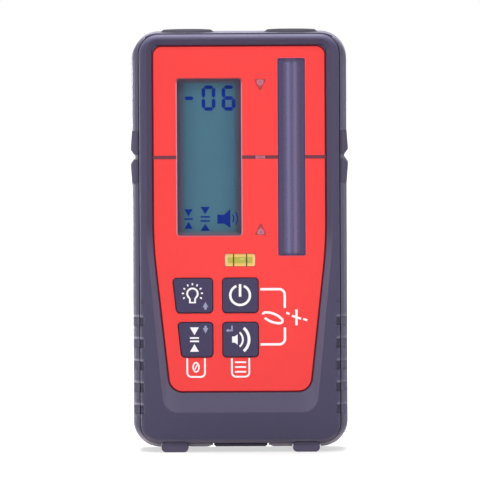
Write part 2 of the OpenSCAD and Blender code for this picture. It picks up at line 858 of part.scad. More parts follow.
module shell_seal() {
    color("#222222") upright()
        ring(housing_low(side_wall - seal_margin), housing_high(side_wall - seal_margin),
            cavity_r + seal_margin, seal_w, seal_floor_f, skirt_f);
}

module fascia_panel() {
    color("#fb4c4c") upright() difference() {
        plate(panel_back_f, panel_f) polygon(outline(panel_points, panel_radii));
        face_openings(panel_back_f - overrun, panel_f + overrun);
    }
}

module display_lens() {
    lap = lens_lap - fit_gap;
    color("#9fb4bc") upright() plate(wall_back_f, wall_back_f + lens_t)
        round_rect(lcd_low - [lap, lap], lcd_high + [lap, lap], lcd_r - fit_gap);
}

module lcd_glass() {
    color("#4d7385") upright() plate(glass_back_f, glass_front_f) polygon(corners(glass_low, glass_high));
}

module lcd_frame() {
    gap = [frame_gap, frame_gap];
    color("#d8d8d4") upright()
        ring(glass_low - gap, glass_high + gap, frame_gap, frame_wall, board_front_f,
            wall_back_f - frame_gap);
}

module lcd_backlight() {
    inset = [0, strip_h + frame_gap];
    color("#e8ecec") upright()
        plate(board_front_f, glass_back_f) polygon(corners(glass_low + inset, glass_high - inset));
}

module contact_strips() {
    color("#c87864") upright() {
        plate(board_front_f, glass_back_f)
            polygon(corners(glass_low, [glass_high.x, glass_low.y + strip_h]));
        plate(board_front_f, glass_back_f)
            polygon(corners([glass_low.x, glass_high.y - strip_h], glass_high));
    }
}

module sensor_window() {
    gap = [fit_gap, fit_gap];
    lap = [flange_w, flange_w];
    front_f = panel_f - sensor_sink;
    band_r = sensor_band_w * sensor_band_w / (8 * sensor_band_h) + sensor_band_h / 2;
    color("#4b3b58") upright() {
        plate(wall_back_f - flange_t, wall_back_f) round_rect(sensor_low - lap, sensor_high + lap, sensor_r);
        plate(wall_back_f, front_f) round_rect(sensor_low + gap, sensor_high - gap, sensor_r - fit_gap);
        intersection() {
            standing(sensor_x, sensor_low.y + fit_gap, front_f + sensor_band_h - band_r)
                cylinder(h = sensor_h - 2 * fit_gap, r = band_r);
            block([sensor_low.x + fit_gap, sensor_low.y, wall_back_f + fit_gap],
                [sensor_high.x - fit_gap, sensor_high.y, front_f + sensor_band_h + overrun]);
        }
    }
}

module photodiode_array() {
    pitch = (sensor_h - 2 * diode_h) / (diode_count - 1);
    color("#303848") upright() {
        block([sensor_x - diode_base_w / 2, sensor_low.y, board_front_f],
            [sensor_x + diode_base_w / 2, sensor_high.y, board_front_f + diode_t]);
        for (k = [0 : diode_count - 1])
            translate([sensor_x - diode_w / 2, sensor_low.y + diode_h / 2 + k * pitch,
                board_front_f + diode_t]) cube([diode_w, diode_h, diode_t]);
    }
}

// A lying round hole or slug along the vial
module vial_core(start, end, r) {
    translate([vial_x + start, vial_u, vial_axis_f]) rotate([0, 90, 0]) cylinder(h = end - start, r = r);
}

module vial_body() {
    half = [vial_half, vial_h / 2 - fit_gap];
    lap = [flange_w, flange_w];
    centre = [vial_x, vial_u];
    color("#e6e6a0") upright() difference() {
        union() {
            plate(vial_back_f, wall_back_f) round_rect(centre - half - lap, centre + half + lap, vial_r);
            plate(wall_back_f, vial_front_f) round_rect(centre - half, centre + half, vial_r - fit_gap);
        }
        vial_core(-vial_half + vial_plug_l, vial_half + flange_w + overrun, vial_bore_r);
    }
}

module vial_fluid() {
    color("#d8d84a") upright() vial_core(-vial_half + vial_plug_l, vial_half - vial_plug_l, vial_bore_r);
}

module vial_plug() {
    color("#a0a040") upright() vial_core(vial_half - vial_plug_l, vial_half, vial_bore_r);
}

// A key: cap through the panel, flange behind the wall, stem towards its switch
module key(points) {
    full = outline(points, key_radii);
    color("#4e4764") upright() {
        loft([key_flange_front_f, key_top_f - key_edge, key_top_f],
            [full, full, outline(points, key_radii, -key_edge)]);
        plate(key_flange_back_f, key_flange_front_f) polygon(outline(points, key_radii, key_flange));
        peg(middle(points), stem_r, stem_f, key_flange_back_f);
    }
}

module light_key() {
    key(key_shapes[2]);
}

module power_key() {
    key(key_shapes[3]);
}

module precision_key() {
    key(key_shapes[0]);
}

module volume_key() {
    key(key_shapes[1]);
}

module key_mat() {
    lap = [mat_margin, mat_margin];
    low = [key_left_edge(key_low_us[1] + key_h / 2), key_low_us[0]] - lap;
    high = [key_right_x + key_w / 2, key_low_us[1] + key_h] + lap;
    ring_f = board_front_f + mat_t + mat_ring_t;
    color("#6a6a72") upright() difference() {
        union() {
            plate(board_front_f, board_front_f + mat_t) round_rect(low, high, key_r);
            for (points = key_shapes)
                peg(middle(points), mat_hole_r + mat_ring_w, board_front_f, ring_f);
        }
        for (points = key_shapes)
            peg(middle(points), mat_hole_r, board_front_f - overrun, ring_f + overrun);
    }
}

module dome_switches() {
    color("#c8c8c4") upright()
        for (points = key_shapes)
            peg(middle(points), dome_r, board_front_f, board_front_f + dome_t);
}

module main_board() {
    color("#2f6b45") upright() difference() {
        plate(board_back_f, board_front_f)
            round_rect([-board_half, board_low_u], [board_half, board_high_u], lcd_r);
        for (place = board_screw_places)
            peg(place, board_screw_r + fit_gap, board_back_f - overrun, board_front_f + overrun);
    }
}

module controller_chip() {
    color("#262626") upright()
        block([chip_x - chip_w / 2, mark_u - chip_w / 2, board_back_f - chip_t],
            [chip_x + chip_w / 2, mark_u + chip_w / 2, board_back_f]);
}

module capacitors() {
    color("#3a3f55") upright()
        for (side = [-1, 1])
            peg([capacitor_x, mark_u + side * capacitor_pitch / 2], capacitor_r,
                board_back_f - capacitor_l, board_back_f);
}

module board_screws() {
    color("#b8b8b8") upright()
        for (place = board_screw_places) {
            peg(place, board_head_r, board_back_f - board_head_t, board_back_f);
            peg(place, board_screw_r, board_back_f, wall_back_f - board_screw_end);
        }
}

module indicator_leds() {
    color("#f2e8c8") upright()
        for (place = [-1, 0, 1])
            translate([led_x - chip_led_w / 2, mark_u + place * led_reach - chip_led_h / 2, board_front_f])
                cube([chip_led_w, chip_led_h, chip_led_t]);
}

// A light pipe behind one of the marks, held by a flange behind the wall
module light_pipe(place) {
    color("#b06470") upright() {
        plate(wall_back_f, panel_f) polygon(outline(led_points(place), led_radii));
        plate(wall_back_f - flange_t, wall_back_f) polygon(outline(led_points(place), led_radii, flange_w));
    }
}

module light_pipe_upper() {
    light_pipe(1);
}

module light_pipe_centre() {
    light_pipe(0);
}

module light_pipe_lower() {
    light_pipe(-1);
}

module buzzer() {
    color("#1e1e1e") upright()
        peg([buzzer_x, buzzer_u], buzzer_r, back_in_f + seal_t, back_in_f + seal_t + buzzer_t);
}

module buzzer_seal() {
    color("#444444") upright() difference() {
        peg([buzzer_x, buzzer_u], buzzer_r, back_in_f, back_in_f + seal_t);
        peg([buzzer_x, buzzer_u], buzzer_r - buzzer_seal_w, back_in_f - overrun,
            back_in_f + seal_t + overrun);
    }
}

module buzzer_pins() {
    color("#d8b45a") upright()
        for (side = [-1, 1])
            peg([buzzer_x + side * buzzer_pin_pitch / 2, buzzer_u], buzzer_pin_r,
                back_in_f + seal_t + buzzer_t, board_back_f);
}

// A cell with its raised tip at the top or the bottom
module cell(side, tip_up) {
    tip_u = tip_up ? cell_low_u + cell_l - tip_l : cell_low_u;
    body_u = tip_up ? cell_low_u : cell_low_u + tip_l;
    color("#3b5f8a") upright() {
        standing(side * cell_pitch / 2, body_u, cell_f) cylinder(h = cell_l - tip_l, d = cell_d);
        standing(side * cell_pitch / 2, tip_u, cell_f) cylinder(h = tip_l, r = tip_r);
    }
}

module cell_left() {
    cell(-1, true);
}

module cell_right() {
    cell(1, false);
}

// A sprung leaf for one cell: its plate on the bay's end and its raised middle
module leaf(side, top) {
    x = side * cell_pitch / 2;
    plate_u = top ? bay_high_u - contact_t : bay_low_u;
    bump_u = top ? bay_high_u - bay_end + contact_touch : bay_low_u + contact_t;
    block([x - contact_w / 2, plate_u, cell_f - contact_depth / 2],
        [x + contact_w / 2, plate_u + contact_t, cell_f + contact_depth / 2]);
    standing(x, bump_u, cell_f) cylinder(h = bay_end - contact_t - contact_touch, r = bump_r);
}

module contact_bridge() {
    color("#cfcfc8") upright() {
        leaf(-1, false);
        leaf(1, false);
        block([-cell_pitch / 2, bay_low_u, cell_f - tail_w / 2],
            [cell_pitch / 2, bay_low_u + contact_t, cell_f + tail_w / 2]);
    }
}

// A leaf with a tail that runs through the bay's wall to the board
module tailed_leaf(side) {
    color("#cfcfc8") upright() {
        leaf(side, true);
        block([side * cell_pitch / 2 - tail_w / 2, bay_high_u - contact_t, cell_f],
            [side * cell_pitch / 2 + tail_w / 2, bay_high_u, board_back_f]);
    }
}

module contact_positive() {
    tailed_leaf(-1);
}

module contact_negative() {
    tailed_leaf(1);
}

// Grip grooves for the thumb on the door's outer face, above the latch tongue
module door_grooves() {
    reach = door_w / 2 - groove_inset;
    for (k = [0 : groove_count - 1])
        translate([0, plate_low_u + groove_rise + k * groove_pitch, rear_f - overrun])
            linear_extrude(groove_depth + overrun) {
                square([2 * reach, groove_w], center = true);
                for (side = [-1, 1])
                    translate([side * reach, 0]) circle(d = groove_w);
            }
}

// Slanted lower corners of the latch tongue
module tongue_corners() {
    edge = latch_w / 2;
    for (side = [-1, 1])
        plate(rear_f + back_edge_r, crest_f)
            polygon([[side * (edge - tongue_slant), base_u], [side * edge, base_u + latch_notch],
                [side * (edge + overrun), base_u + latch_notch], [side * (edge + overrun), base_u - overrun],
                [side * (edge - tongue_slant), base_u - overrun]]);
}

module battery_door() {
    color("#4a465c") upright() difference() {
        union() {
            intersection() {
                difference() {
                    rear_form(0);
                    rear_form(door_t);
                }
                door_zone(0);
            }
            translate([-barrel_w / 2, hinge_u, hinge_f]) rotate([0, 90, 0])
                cylinder(h = barrel_w, r = barrel_r);
        }
        translate([-barrel_w / 2 - overrun, hinge_u, hinge_f]) rotate([0, 90, 0])
            cylinder(h = barrel_w + 2 * overrun, r = pin_d / 2 + pin_gap);
        door_grooves();
        tongue_corners();
    }
}

module door_seal() {
    color("#222222") upright()
        ring([-bay_half - door_seal_margin, bay_low_u - door_seal_margin],
            [bay_half + door_seal_margin, bay_high_u + door_seal_margin], door_seal_margin, door_seal_w,
            door_ledge_f - seal_float, door_ledge_f + seal_t - seal_float);
}

module door_pin() {
    color("#c0c0c0") upright() translate([-door_w / 2, hinge_u, hinge_f]) rotate([0, 90, 0])
        cylinder(h = door_w, d = pin_d);
}

module case_screws() {
    color("#3c3c40") upright()
        for (place = screw_places) {
            peg(place, case_head_r, seat_f - case_head_t, seat_f);
            peg(place, case_screw_r, seat_f, wall_back_f - case_screw_end);
        }
}

// A rubber pad over the side wall and the lip, in two halves with the notch between them
module marker() {
    floor_half = notch_w * notch_floor_share / 2;
    difference() {
        marker_form();
        marker_notch();
        block([body_w / 2 - lip_w, mark_u - floor_half, rear_f], [body_w / 2, mark_u + floor_half, crest_f]);
    }
}

module marker_left() {
    color("#3f3b48") upright() mirror([1, 0, 0]) marker();
}

module marker_right() {
    color("#3f3b48") upright() marker();
}

// A rubber skid that shows in front of the lip
module foot(side) {
    x = side * foot_x;
    color("#3f3b48") upright() plate(rear_f + foot_back, crest_f - foot_front)
        round_rect([x - foot_w / 2, 0], [x + foot_w / 2, base_u + foot_sink], foot_r);
}

module foot_left() {
    foot(-1);
}

module foot_right() {
    foot(1);
}

module magnet(side) {
    color("#9a9a9a") upright() standing(side * magnet_x, top_u - cap_sink - magnet_t, magnet_f)
        cylinder(h = magnet_t, r = magnet_r);
}

module magnet_left() {
    magnet(-1);
}

module magnet_right() {
    magnet(1);
}

// A cap with a bevelled rim and a slightly dished top
module magnet_cap(side) {
    rim = cap_d / 2 - cap_slope;
    tall = cap_sink + cap_proud;
    color("#37343f") upright() standing(side * magnet_x, top_u - cap_sink, magnet_f) rotate_extrude()
        polygon([[0, 0], [cap_d / 2, 0], [cap_d / 2, cap_sink], [rim, tall],
            [rim - cap_rim, tall], [rim - cap_rim - cap_edge, tall - cap_dish], [0, tall - cap_dish]]);
}

module magnet_cap_left() {
    magnet_cap(-1);
}

module magnet_cap_right() {
    magnet_cap(1);
}

module mount_insert() {
    color("#c8a24a") upright() difference() {
        peg([0, mark_u], insert_od / 2, rear_f, rear_f + insert_l);
        peg([0, mark_u], insert_bore / 2, rear_f - overrun, rear_f + insert_l + overrun);
    }
}

front_shell();
rear_shell();
shell_seal();
fascia_panel();
display_lens();
lcd_glass();
lcd_frame();
lcd_backlight();
contact_strips();
sensor_window();
photodiode_array();
vial_body();
vial_fluid();
vial_plug();
light_key();
power_key();
precision_key();
volume_key();
key_mat();
dome_switches();
main_board();
controller_chip();
capacitors();
board_screws();
indicator_leds();
light_pipe_upper();
light_pipe_centre();
light_pipe_lower();
buzzer();
buzzer_seal();
buzzer_pins();
cell_left();
cell_right();
contact_bridge();
contact_positive();
contact_negative();
battery_door();
door_seal();
door_pin();
case_screws();
marker_left();
marker_right();
foot_left();
foot_right();
magnet_left();
magnet_right();
magnet_cap_left();
magnet_cap_right();
mount_insert();
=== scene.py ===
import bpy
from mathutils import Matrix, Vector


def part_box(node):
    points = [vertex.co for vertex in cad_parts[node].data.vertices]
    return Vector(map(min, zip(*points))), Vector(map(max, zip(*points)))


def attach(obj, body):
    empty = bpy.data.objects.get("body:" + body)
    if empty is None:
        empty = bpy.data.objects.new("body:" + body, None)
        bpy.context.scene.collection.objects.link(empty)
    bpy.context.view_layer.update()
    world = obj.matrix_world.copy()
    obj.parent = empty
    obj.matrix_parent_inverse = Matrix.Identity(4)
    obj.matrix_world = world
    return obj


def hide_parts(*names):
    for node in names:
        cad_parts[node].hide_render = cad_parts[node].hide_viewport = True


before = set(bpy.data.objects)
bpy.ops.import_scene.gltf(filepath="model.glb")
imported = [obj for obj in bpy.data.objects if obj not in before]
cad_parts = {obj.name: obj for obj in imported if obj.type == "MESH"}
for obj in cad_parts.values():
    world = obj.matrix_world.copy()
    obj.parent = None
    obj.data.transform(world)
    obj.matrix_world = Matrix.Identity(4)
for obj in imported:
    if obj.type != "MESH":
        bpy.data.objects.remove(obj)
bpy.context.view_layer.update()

import math

import bmesh
import bpy
from mathutils import Matrix, Vector

# Rear shell: the tub that takes the knocks and carries every other piece. It is moulded in dark ABS
# with a fine spark-eroded skin, its edges a little rubbed by hands. The rounded lip and the finger
# notches in its lower corners come from the mould too. The undersides of the lip are painted pale as
# light bounced up from the floor, and the edges of the notches carry painted highlights.
MM = 0.001


def paint(red, green, blue):
    """A colour as a screen shows it, in the linear values that the renderer mixes."""
    shares = (red / 255, green / 255, blue / 255)
    return tuple(s / 12.92 if s <= 0.04045 else ((s + 0.055) / 1.055) ** 2.4 for s in shares) + (1,)


def shade(colour, share):
    """A colour made darker or lighter by a share of itself."""
    return tuple(level * share for level in colour[:3]) + (1,)


class Flow:
    """A value on its way through a finish. Arithmetic on it adds the nodes that do the sum."""

    def __init__(self, tree, socket=None):
        self.tree = tree
        self.socket = socket

    def add(self, kind, settings=(), sockets=(), out=0):
        """Any node: its type, its settings, then the values or links of its sockets."""
        node = self.tree.nodes.new("ShaderNode" + kind)
        for name, value in dict(settings).items():
            setattr(node, name, value)
        for name, value in dict(sockets).items():
            if isinstance(value, Flow):
                self.tree.links.new(value.socket, node.inputs[name])
            else:
                node.inputs[name].default_value = value
        return Flow(self.tree, node.outputs[out])

    def sum(self, operation, first, second):
        """The result of a sum on two values, by the name of the operation."""
        return self.add("Math", {"operation": operation}, {0: first, 1: second})

    def __add__(self, other):
        return self.sum("ADD", self, other)

    def __radd__(self, other):
        return self.sum("ADD", other, self)

    def __sub__(self, other):
        return self.sum("SUBTRACT", self, other)

    def __rsub__(self, other):
        return self.sum("SUBTRACT", other, self)

    def __mul__(self, other):
        return self.sum("MULTIPLY", self, other)

    def __rmul__(self, other):
        return self.sum("MULTIPLY", other, self)

    def rise(self, low, high):
        """0 below the low value and 1 above the high one, with a soft step between."""
        return self.add("MapRange", {"interpolation_type": "SMOOTHSTEP"},
                        {"Value": self, "From Min": low, "From Max": high})

    def off(self, middle):
        """How far it is from a middle value, on either side."""
        return self.add("Math", {"operation": "ABSOLUTE"}, {0: self - middle})

    def between(self, first, second):
        """The colour that lies this share of the way from the first to the second."""
        return self.add("Mix", {"data_type": "RGBA"}, {0: self, 6: first, 7: second}, out=2)

    def along(self, axis):
        """One axis of a place or of a direction."""
        return self.add("SeparateXYZ", {}, {"Vector": self}, out=axis)

    def noise(self, size, detail=2.0, rough=0.5):
        """Cloudy noise with lumps of about that size."""
        return self.add("TexNoise", {}, {"Vector": self, "Scale": 1 / size, "Detail": detail,
                                         "Roughness": rough})

    def to(self, shader, socket):
        """Links it to a socket of the shader."""
        self.tree.links.new(self.socket, shader.inputs[socket])


def new_finish(name, levels):
    """A material with its plain levels set. Returns it, its shader and the place on the piece."""
    finish = bpy.data.materials.new(name)
    finish.use_nodes = True
    shader = finish.node_tree.nodes["Principled BSDF"]
    for socket, level in levels.items():
        shader.inputs[socket].default_value = level
    return finish, shader, Flow(finish.node_tree).add("TexCoord", out="Object")


def moulded(name, colour, worn, roughness, grain, bite=0.3, soft=0.35, levels=()):
    """Moulded plastic or rubber: a clouded skin with the mould's grain, and edges rubbed by hands."""
    cloud_size, grain_depth = 9 * MM, 0.06 * MM
    wear, polish, unevenness = 0.45, 0.1, 0.16
    finish, shader, place = new_finish(name, dict(levels))
    cloud = place.noise(cloud_size, detail=4.0, rough=0.6)
    skin = place.noise(grain)
    rounded = place.add("Bevel", {"samples": 6}, {"Radius": soft * MM})
    flat = place.add("NewGeometry", out="Normal")
    facing = place.add("VectorMath", {"operation": "DOT_PRODUCT"}, {0: rounded, 1: flat}, out="Value")
    rubbed = (1 - facing).rise(0.01, 0.2) * cloud.rise(0.3, 0.7)
    speck = skin.rise(0.35, 0.65) * 0.5 + cloud * 0.5
    body = speck.between(shade(colour, 0.9), shade(colour, 1.1))
    (rubbed * wear).between(body, worn).to(shader, "Base Color")
    (cloud * unevenness + (roughness - unevenness / 2) - rubbed * polish).to(shader, "Roughness")
    place.add("Bump", {}, {"Strength": bite, "Distance": grain_depth, "Height": skin,
                           "Normal": rounded}).to(shader, "Normal")
    return finish


def dress(finish, *nodes):
    """Gives solids that keep their shape a finish."""
    for node in nodes:
        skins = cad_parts[node].data.materials
        skins.clear()
        skins.append(finish)


def second_coat(finish):
    """Opens a finish for one more coat. Returns its shader, its colour so far and the place on the piece."""
    shader = finish.node_tree.nodes["Principled BSDF"]
    first = Flow(finish.node_tree, shader.inputs["Base Color"].links[0].from_socket)
    return shader, first, first.add("TexCoord", out="Object")


def facing_down(place):
    """How squarely the skin looks down: 1 on an underside and 0 on a wall."""
    return 0 - place.add("NewGeometry", out="Normal").along("Z")


shell_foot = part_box("rear_shell")[0].z
notch_count, notch_pitch, notch_h = 5, 7.8 * MM, 3.2 * MM
lowest_notch = shell_foot + 13.5 * MM
notched_side, notched_back = 34.0 * MM, -8.0 * MM
notch_highlight_band = (0.5 * MM, 1.1 * MM)


def by_notches(place):
    """How far a place lies over the edge of the notch below it, and whether it is at a notched corner."""
    up = place.along("Z") - (lowest_notch + notch_h / 2)
    over_edge = up.sum("FLOORED_MODULO", up, notch_pitch)
    at_corner = (place.along("X").off(0).rise(notched_side, notched_side + 0.4 * MM)
                 * (1 - place.along("Y").rise(notched_back - MM, notched_back)))
    row_end = notch_count * notch_pitch
    in_row = up.rise(-notch_h, 0) * (1 - up.rise(row_end - notch_h, row_end))
    return over_edge, at_corner * in_row


shell_colour = paint(69, 65, 90)
shell_worn = paint(132, 128, 146)
shell_grain = 0.35 * MM
shell_skin = moulded("shell_skin", shell_colour, shell_worn, roughness=0.4, grain=shell_grain,
                     levels={"Specular IOR Level": 0.5})
shell_shader, shell_first, shell_place = second_coat(shell_skin)
lip_back, lip_blend = -8.7 * MM, 0.5 * MM
on_lip = 1 - shell_place.along("Y").rise(lip_back - lip_blend, lip_back)
# Painted light: the undersides of the lip are painted pale, as light bounced up from the floor.
lip_bounce_light = on_lip * facing_down(shell_place).rise(0.1, 0.7) * 0.95
shell_tint = lip_bounce_light.between(shell_first, paint(172, 162, 177))
# Painted highlight: a pale band over the top edge of each notch, fainter on the right side.
over_notch, at_notches = by_notches(shell_place)
lit_side = 1 - shell_place.along("X").rise(0, MM) * 0.7
notch_highlights = (1 - over_notch.rise(*notch_highlight_band)) * at_notches * lit_side
notch_highlights.between(shell_tint, paint(126, 120, 138)).to(shell_shader, "Base Color")
dress(shell_skin, "rear_shell")

# Magnets and their caps: two nickel-plated discs hold the receiver under a steel beam. They lie in
# pockets of the top edge, under snap-in caps of a smoother plastic.
def metal(name, colour, roughness, drawn=(1, 1, 1)):
    """Bare or plated metal, with the fine lines of the way that it was drawn or rolled."""
    line_size, line_depth, bloom_size = 0.25 * MM, 0.02 * MM, 4 * MM
    finish, shader, place = new_finish(name, {"Metallic": 1.0})
    lines = place.add("Mapping", {}, {"Vector": place, "Scale": drawn}).noise(line_size, detail=3.0)
    bloom = place.noise(bloom_size, detail=3.0)
    bloom.between(shade(colour, 0.86), colour).to(shader, "Base Color")
    (lines * 0.2 + bloom * 0.1 + (roughness - 0.15)).to(shader, "Roughness")
    place.add("Bump", {}, {"Strength": 0.15, "Distance": line_depth, "Height": lines}).to(shader, "Normal")
    return finish


cap_skin = moulded("cap_skin", paint(41, 40, 50), shell_worn, roughness=0.8, grain=0.5 * MM, bite=0.12,
                   levels={"Specular IOR Level": 0.15})
dress(cap_skin, "magnet_cap_left", "magnet_cap_right")
dress(metal("nickel_plate", paint(196, 194, 188), 0.3), "magnet_left", "magnet_right")

# Mounting insert: a brass bush with a camera thread, pressed hot into the back for the staff clamp.
# It is turned from bar, with a chamfered mouth and a ridge that winds round the bore.
def turned(shape, start, axis, profile, steps=48):
    """Adds a turned form: pairs of radius and distance along the axis, in millimetres, spun once."""
    across = axis.orthogonal().normalized()
    points = [shape.verts.new(start + (across * r + axis * d) * MM) for r, d in profile]
    edges = [shape.edges.new(pair) for pair in zip(points, points[1:])]
    bmesh.ops.spin(shape, geom=points + edges, cent=start, axis=axis, angle=math.tau, steps=steps,
                   use_merge=True)


def piece(name, shape, finish, body, stands_for=()):
    """Closes a shape, dresses it and fixes it to the body that carries it."""
    weld, crease = 0.0005 * MM, math.radians(35)
    bmesh.ops.remove_doubles(shape, verts=shape.verts, dist=weld)
    bmesh.ops.recalc_face_normals(shape, faces=shape.faces)
    mesh = bpy.data.meshes.new(name)
    shape.to_mesh(mesh)
    shape.free()
    mesh.polygons.foreach_set("use_smooth", [True] * len(mesh.polygons))
    mesh.set_sharp_from_angle(angle=crease)
    mesh.materials.append(finish)
    made = bpy.data.objects.new(name, mesh)
    bpy.context.scene.collection.objects.link(made)
    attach(made, body)
    if stands_for:
        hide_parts(*stands_for)


low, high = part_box("mount_insert")
inwards = Vector((0, -1, 0))
mouth = Vector(((low.x + high.x) / 2, high.y, (low.z + high.z) / 2))
insert_r = (high.x - low.x) / 2 / MM
insert_l = (high.y - low.y) / MM
thread_r, thread_tip, thread_start, thread_pitch = 3.25, 2.58, 1.3, 1.27
thread_turns, turn_steps = 5, 36
mouth_chamfer, rim_round = 0.6, 0.25
groove_start, groove_end, groove_deep = 3.2, 4.6, 0.3
insert = bmesh.new()
turned(insert, mouth, inwards, [
    (thread_r, insert_l), (thread_r, mouth_chamfer + 0.1), (thread_r + mouth_chamfer, 0.05),
    (insert_r - rim_round, 0), (insert_r, rim_round), (insert_r, groove_start),
    (insert_r - groove_deep, groove_start + groove_deep), (insert_r - groove_deep, groove_end - groove_deep),
    (insert_r, groove_end), (insert_r, insert_l), (thread_r, insert_l)])
across = inwards.orthogonal().normalized()
ridge_root, ridge_half = thread_r + 0.05, 0.55
ridge = insert.faces.new([insert.verts.new(mouth + (across * r + inwards * d) * MM) for r, d in (
    (ridge_root, thread_start - ridge_half), (thread_tip, thread_start),
    (ridge_root, thread_start + ridge_half))])
bmesh.ops.spin(insert, geom=[*ridge.verts, *ridge.edges, ridge], cent=mouth, axis=inwards,
               dvec=inwards * thread_pitch * MM / turn_steps, angle=math.tau * thread_turns,
               steps=thread_turns * turn_steps)
piece("insert_thread", insert, metal("turned_brass", paint(206, 170, 92), 0.3, drawn=(1, 6, 1)),
      "housing", ["mount_insert"])

# Buzzer: a piezo disc in a black can, heard through slots in the back. A foam ring seals it against
# the slots, and two gilt pins carry it to the board.
black_skin = moulded("black_skin", paint(38, 37, 41), paint(90, 90, 94), roughness=0.5, grain=0.3 * MM)
foam_skin = moulded("foam_skin", paint(52, 51, 56), paint(70, 70, 74), roughness=0.9, grain=0.5 * MM,
                    bite=0.8)
gilt = metal("gilt", paint(222, 184, 104), 0.25)
dress(black_skin, "buzzer")
dress(foam_skin, "buzzer_seal")
dress(gilt, "buzzer_pins")

# Battery contacts: sprung leaves stamped from nickel-plated strip. Two have tails that reach the
# board; the third joins the two cells at the foot of the bay.
spring_plate = metal("spring_plate", paint(190, 188, 182), 0.32, drawn=(4, 1, 1))
dress(spring_plate, "contact_bridge", "contact_positive", "contact_negative")

# Cells: two AA cells lie side by side, nose to tail. Each is a drawn steel can in a printed sleeve
# that is shrunk over its shoulders, with a bare nub at one end and a bare disc at the other.
cell_skin, cell_shader, cell_place = new_finish("cell_sleeve", {"Coat Weight": 0.3, "Coat Roughness": 0.2})
cell_low, cell_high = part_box("cell_left")
cell_axis_y = (cell_low.y + cell_high.y) / 2
cell_r = (cell_high.x - cell_low.x) / 2 / MM
cell_l = (cell_high.z - cell_low.z) / MM
bare_end, band_l, print_edge = 1.5 * MM, 14 * MM, 0.1 * MM
disc_r, fold_r, nub_r, shoulder_r = 4.6, 5.4, 2.6, cell_r - 0.5
cell_up = cell_place.along("Z")
sleeve = (cell_up.rise(cell_low.z + bare_end, cell_low.z + bare_end + print_edge)
          * (1 - cell_up.rise(cell_high.z - bare_end - print_edge, cell_high.z - bare_end)))
band = cell_up.rise(cell_high.z - band_l, cell_high.z - band_l + print_edge)
scuffs = cell_place.noise(3 * MM, detail=5.0, rough=0.7)
printed = band.between(paint(46, 74, 118), paint(196, 200, 206))
rubbed_print = (scuffs.rise(0.55, 0.8) * 0.3).between(printed, paint(170, 176, 186))
sleeve.between(paint(188, 186, 180), rubbed_print).to(cell_shader, "Base Color")
(0.9 - sleeve * 0.7).to(cell_shader, "Metallic")
(scuffs * 0.2 + 0.22).to(cell_shader, "Roughness")
for node, upwards in (("cell_left", True), ("cell_right", False)):
    low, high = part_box(node)
    foot = Vector(((low.x + high.x) / 2, cell_axis_y, low.z if upwards else high.z))
    cell = bmesh.new()
    turned(cell, foot, Vector((0, 0, 1 if upwards else -1)), [
        (0, 0), (disc_r, 0), (disc_r + 0.3, 0.2), (fold_r + 0.2, 0.25), (shoulder_r, 0.1), (cell_r, 0.6),
        (cell_r, cell_l - 2.1), (shoulder_r, cell_l - 1.45), (fold_r, cell_l - 1.25),
        (fold_r - 0.4, cell_l - 1.5), (nub_r + 0.1, cell_l - 1.4), (nub_r, cell_l - 0.4),
        (nub_r - 0.4, cell_l), (0, cell_l)])
    piece(node + "_sleeved", cell, cell_skin, "housing", [node])

# Battery door: a moulded flap with thumb grooves, which swings on a steel pin at its top edge and
# snaps under the foot of the rear shell. A rubber cord round its inside keeps dust out.
door_skin = moulded("door_skin", shade(shell_colour, 0.8), shell_worn, roughness=0.5, grain=shell_grain,
                    levels={"Specular IOR Level": 0.28})
seal_skin = moulded("seal_skin", paint(44, 43, 47), paint(70, 69, 73), roughness=0.75, grain=0.25 * MM)
ground_steel = metal("ground_steel", paint(176, 176, 178), 0.28, drawn=(5, 1, 1))
dress(door_skin, "battery_door")
dress(seal_skin, "door_seal")
dress(ground_steel, "door_pin")

# Main board: green glass-fibre laminate with copper tracks under the mask, screwed to the front
# shell. It carries the controller, two capacitors, the lamps and the row of light-sensing diodes.
board_skin, board_shader, board_place = new_finish("board_laminate", {"Roughness": 0.4, "Coat Weight": 0.2})
tracks_to_metre, track_depth = 320.0, 0.03 * MM
tracks = board_place.add("TexVoronoi", {"feature": "DISTANCE_TO_EDGE"},
                         {"Vector": board_place, "Scale": tracks_to_metre, "Randomness": 0.35})
weave = board_place.noise(0.4 * MM)
mask = weave.between(paint(22, 78, 52), paint(32, 96, 64))
(1 - tracks.rise(0.04, 0.08)).between(mask, paint(58, 128, 84)).to(board_shader, "Base Color")
board_place.add("Bump", {}, {"Strength": 0.25, "Distance": track_depth, "Height": tracks}).to(
    board_shader, "Normal")
lamp_resin = moulded("lamp_resin", paint(196, 44, 44), paint(230, 120, 110), roughness=0.2,
                     grain=0.4 * MM, bite=0.05)
diode_resin = moulded("diode_resin", paint(34, 28, 40), paint(80, 74, 90), roughness=0.2,
                      grain=0.4 * MM, bite=0.05)
dress(board_skin, "main_board")
dress(black_skin, "controller_chip")
dress(metal("capacitor_can", paint(198, 198, 202), 0.3, drawn=(1, 1, 5)), "capacitors")
dress(ground_steel, "board_screws")
dress(gilt, "contact_strips", "dome_switches")
dress(lamp_resin, "indicator_leds")
dress(diode_resin, "photodiode_array")

# Key mat: one sheet of silicone rubber under the four keys, whose domes spring them back and close
# the switches on the board.
silicone = moulded("silicone", paint(150, 150, 156), paint(180, 180, 186), roughness=0.7, grain=0.4 * MM)
dress(silicone, "key_mat")
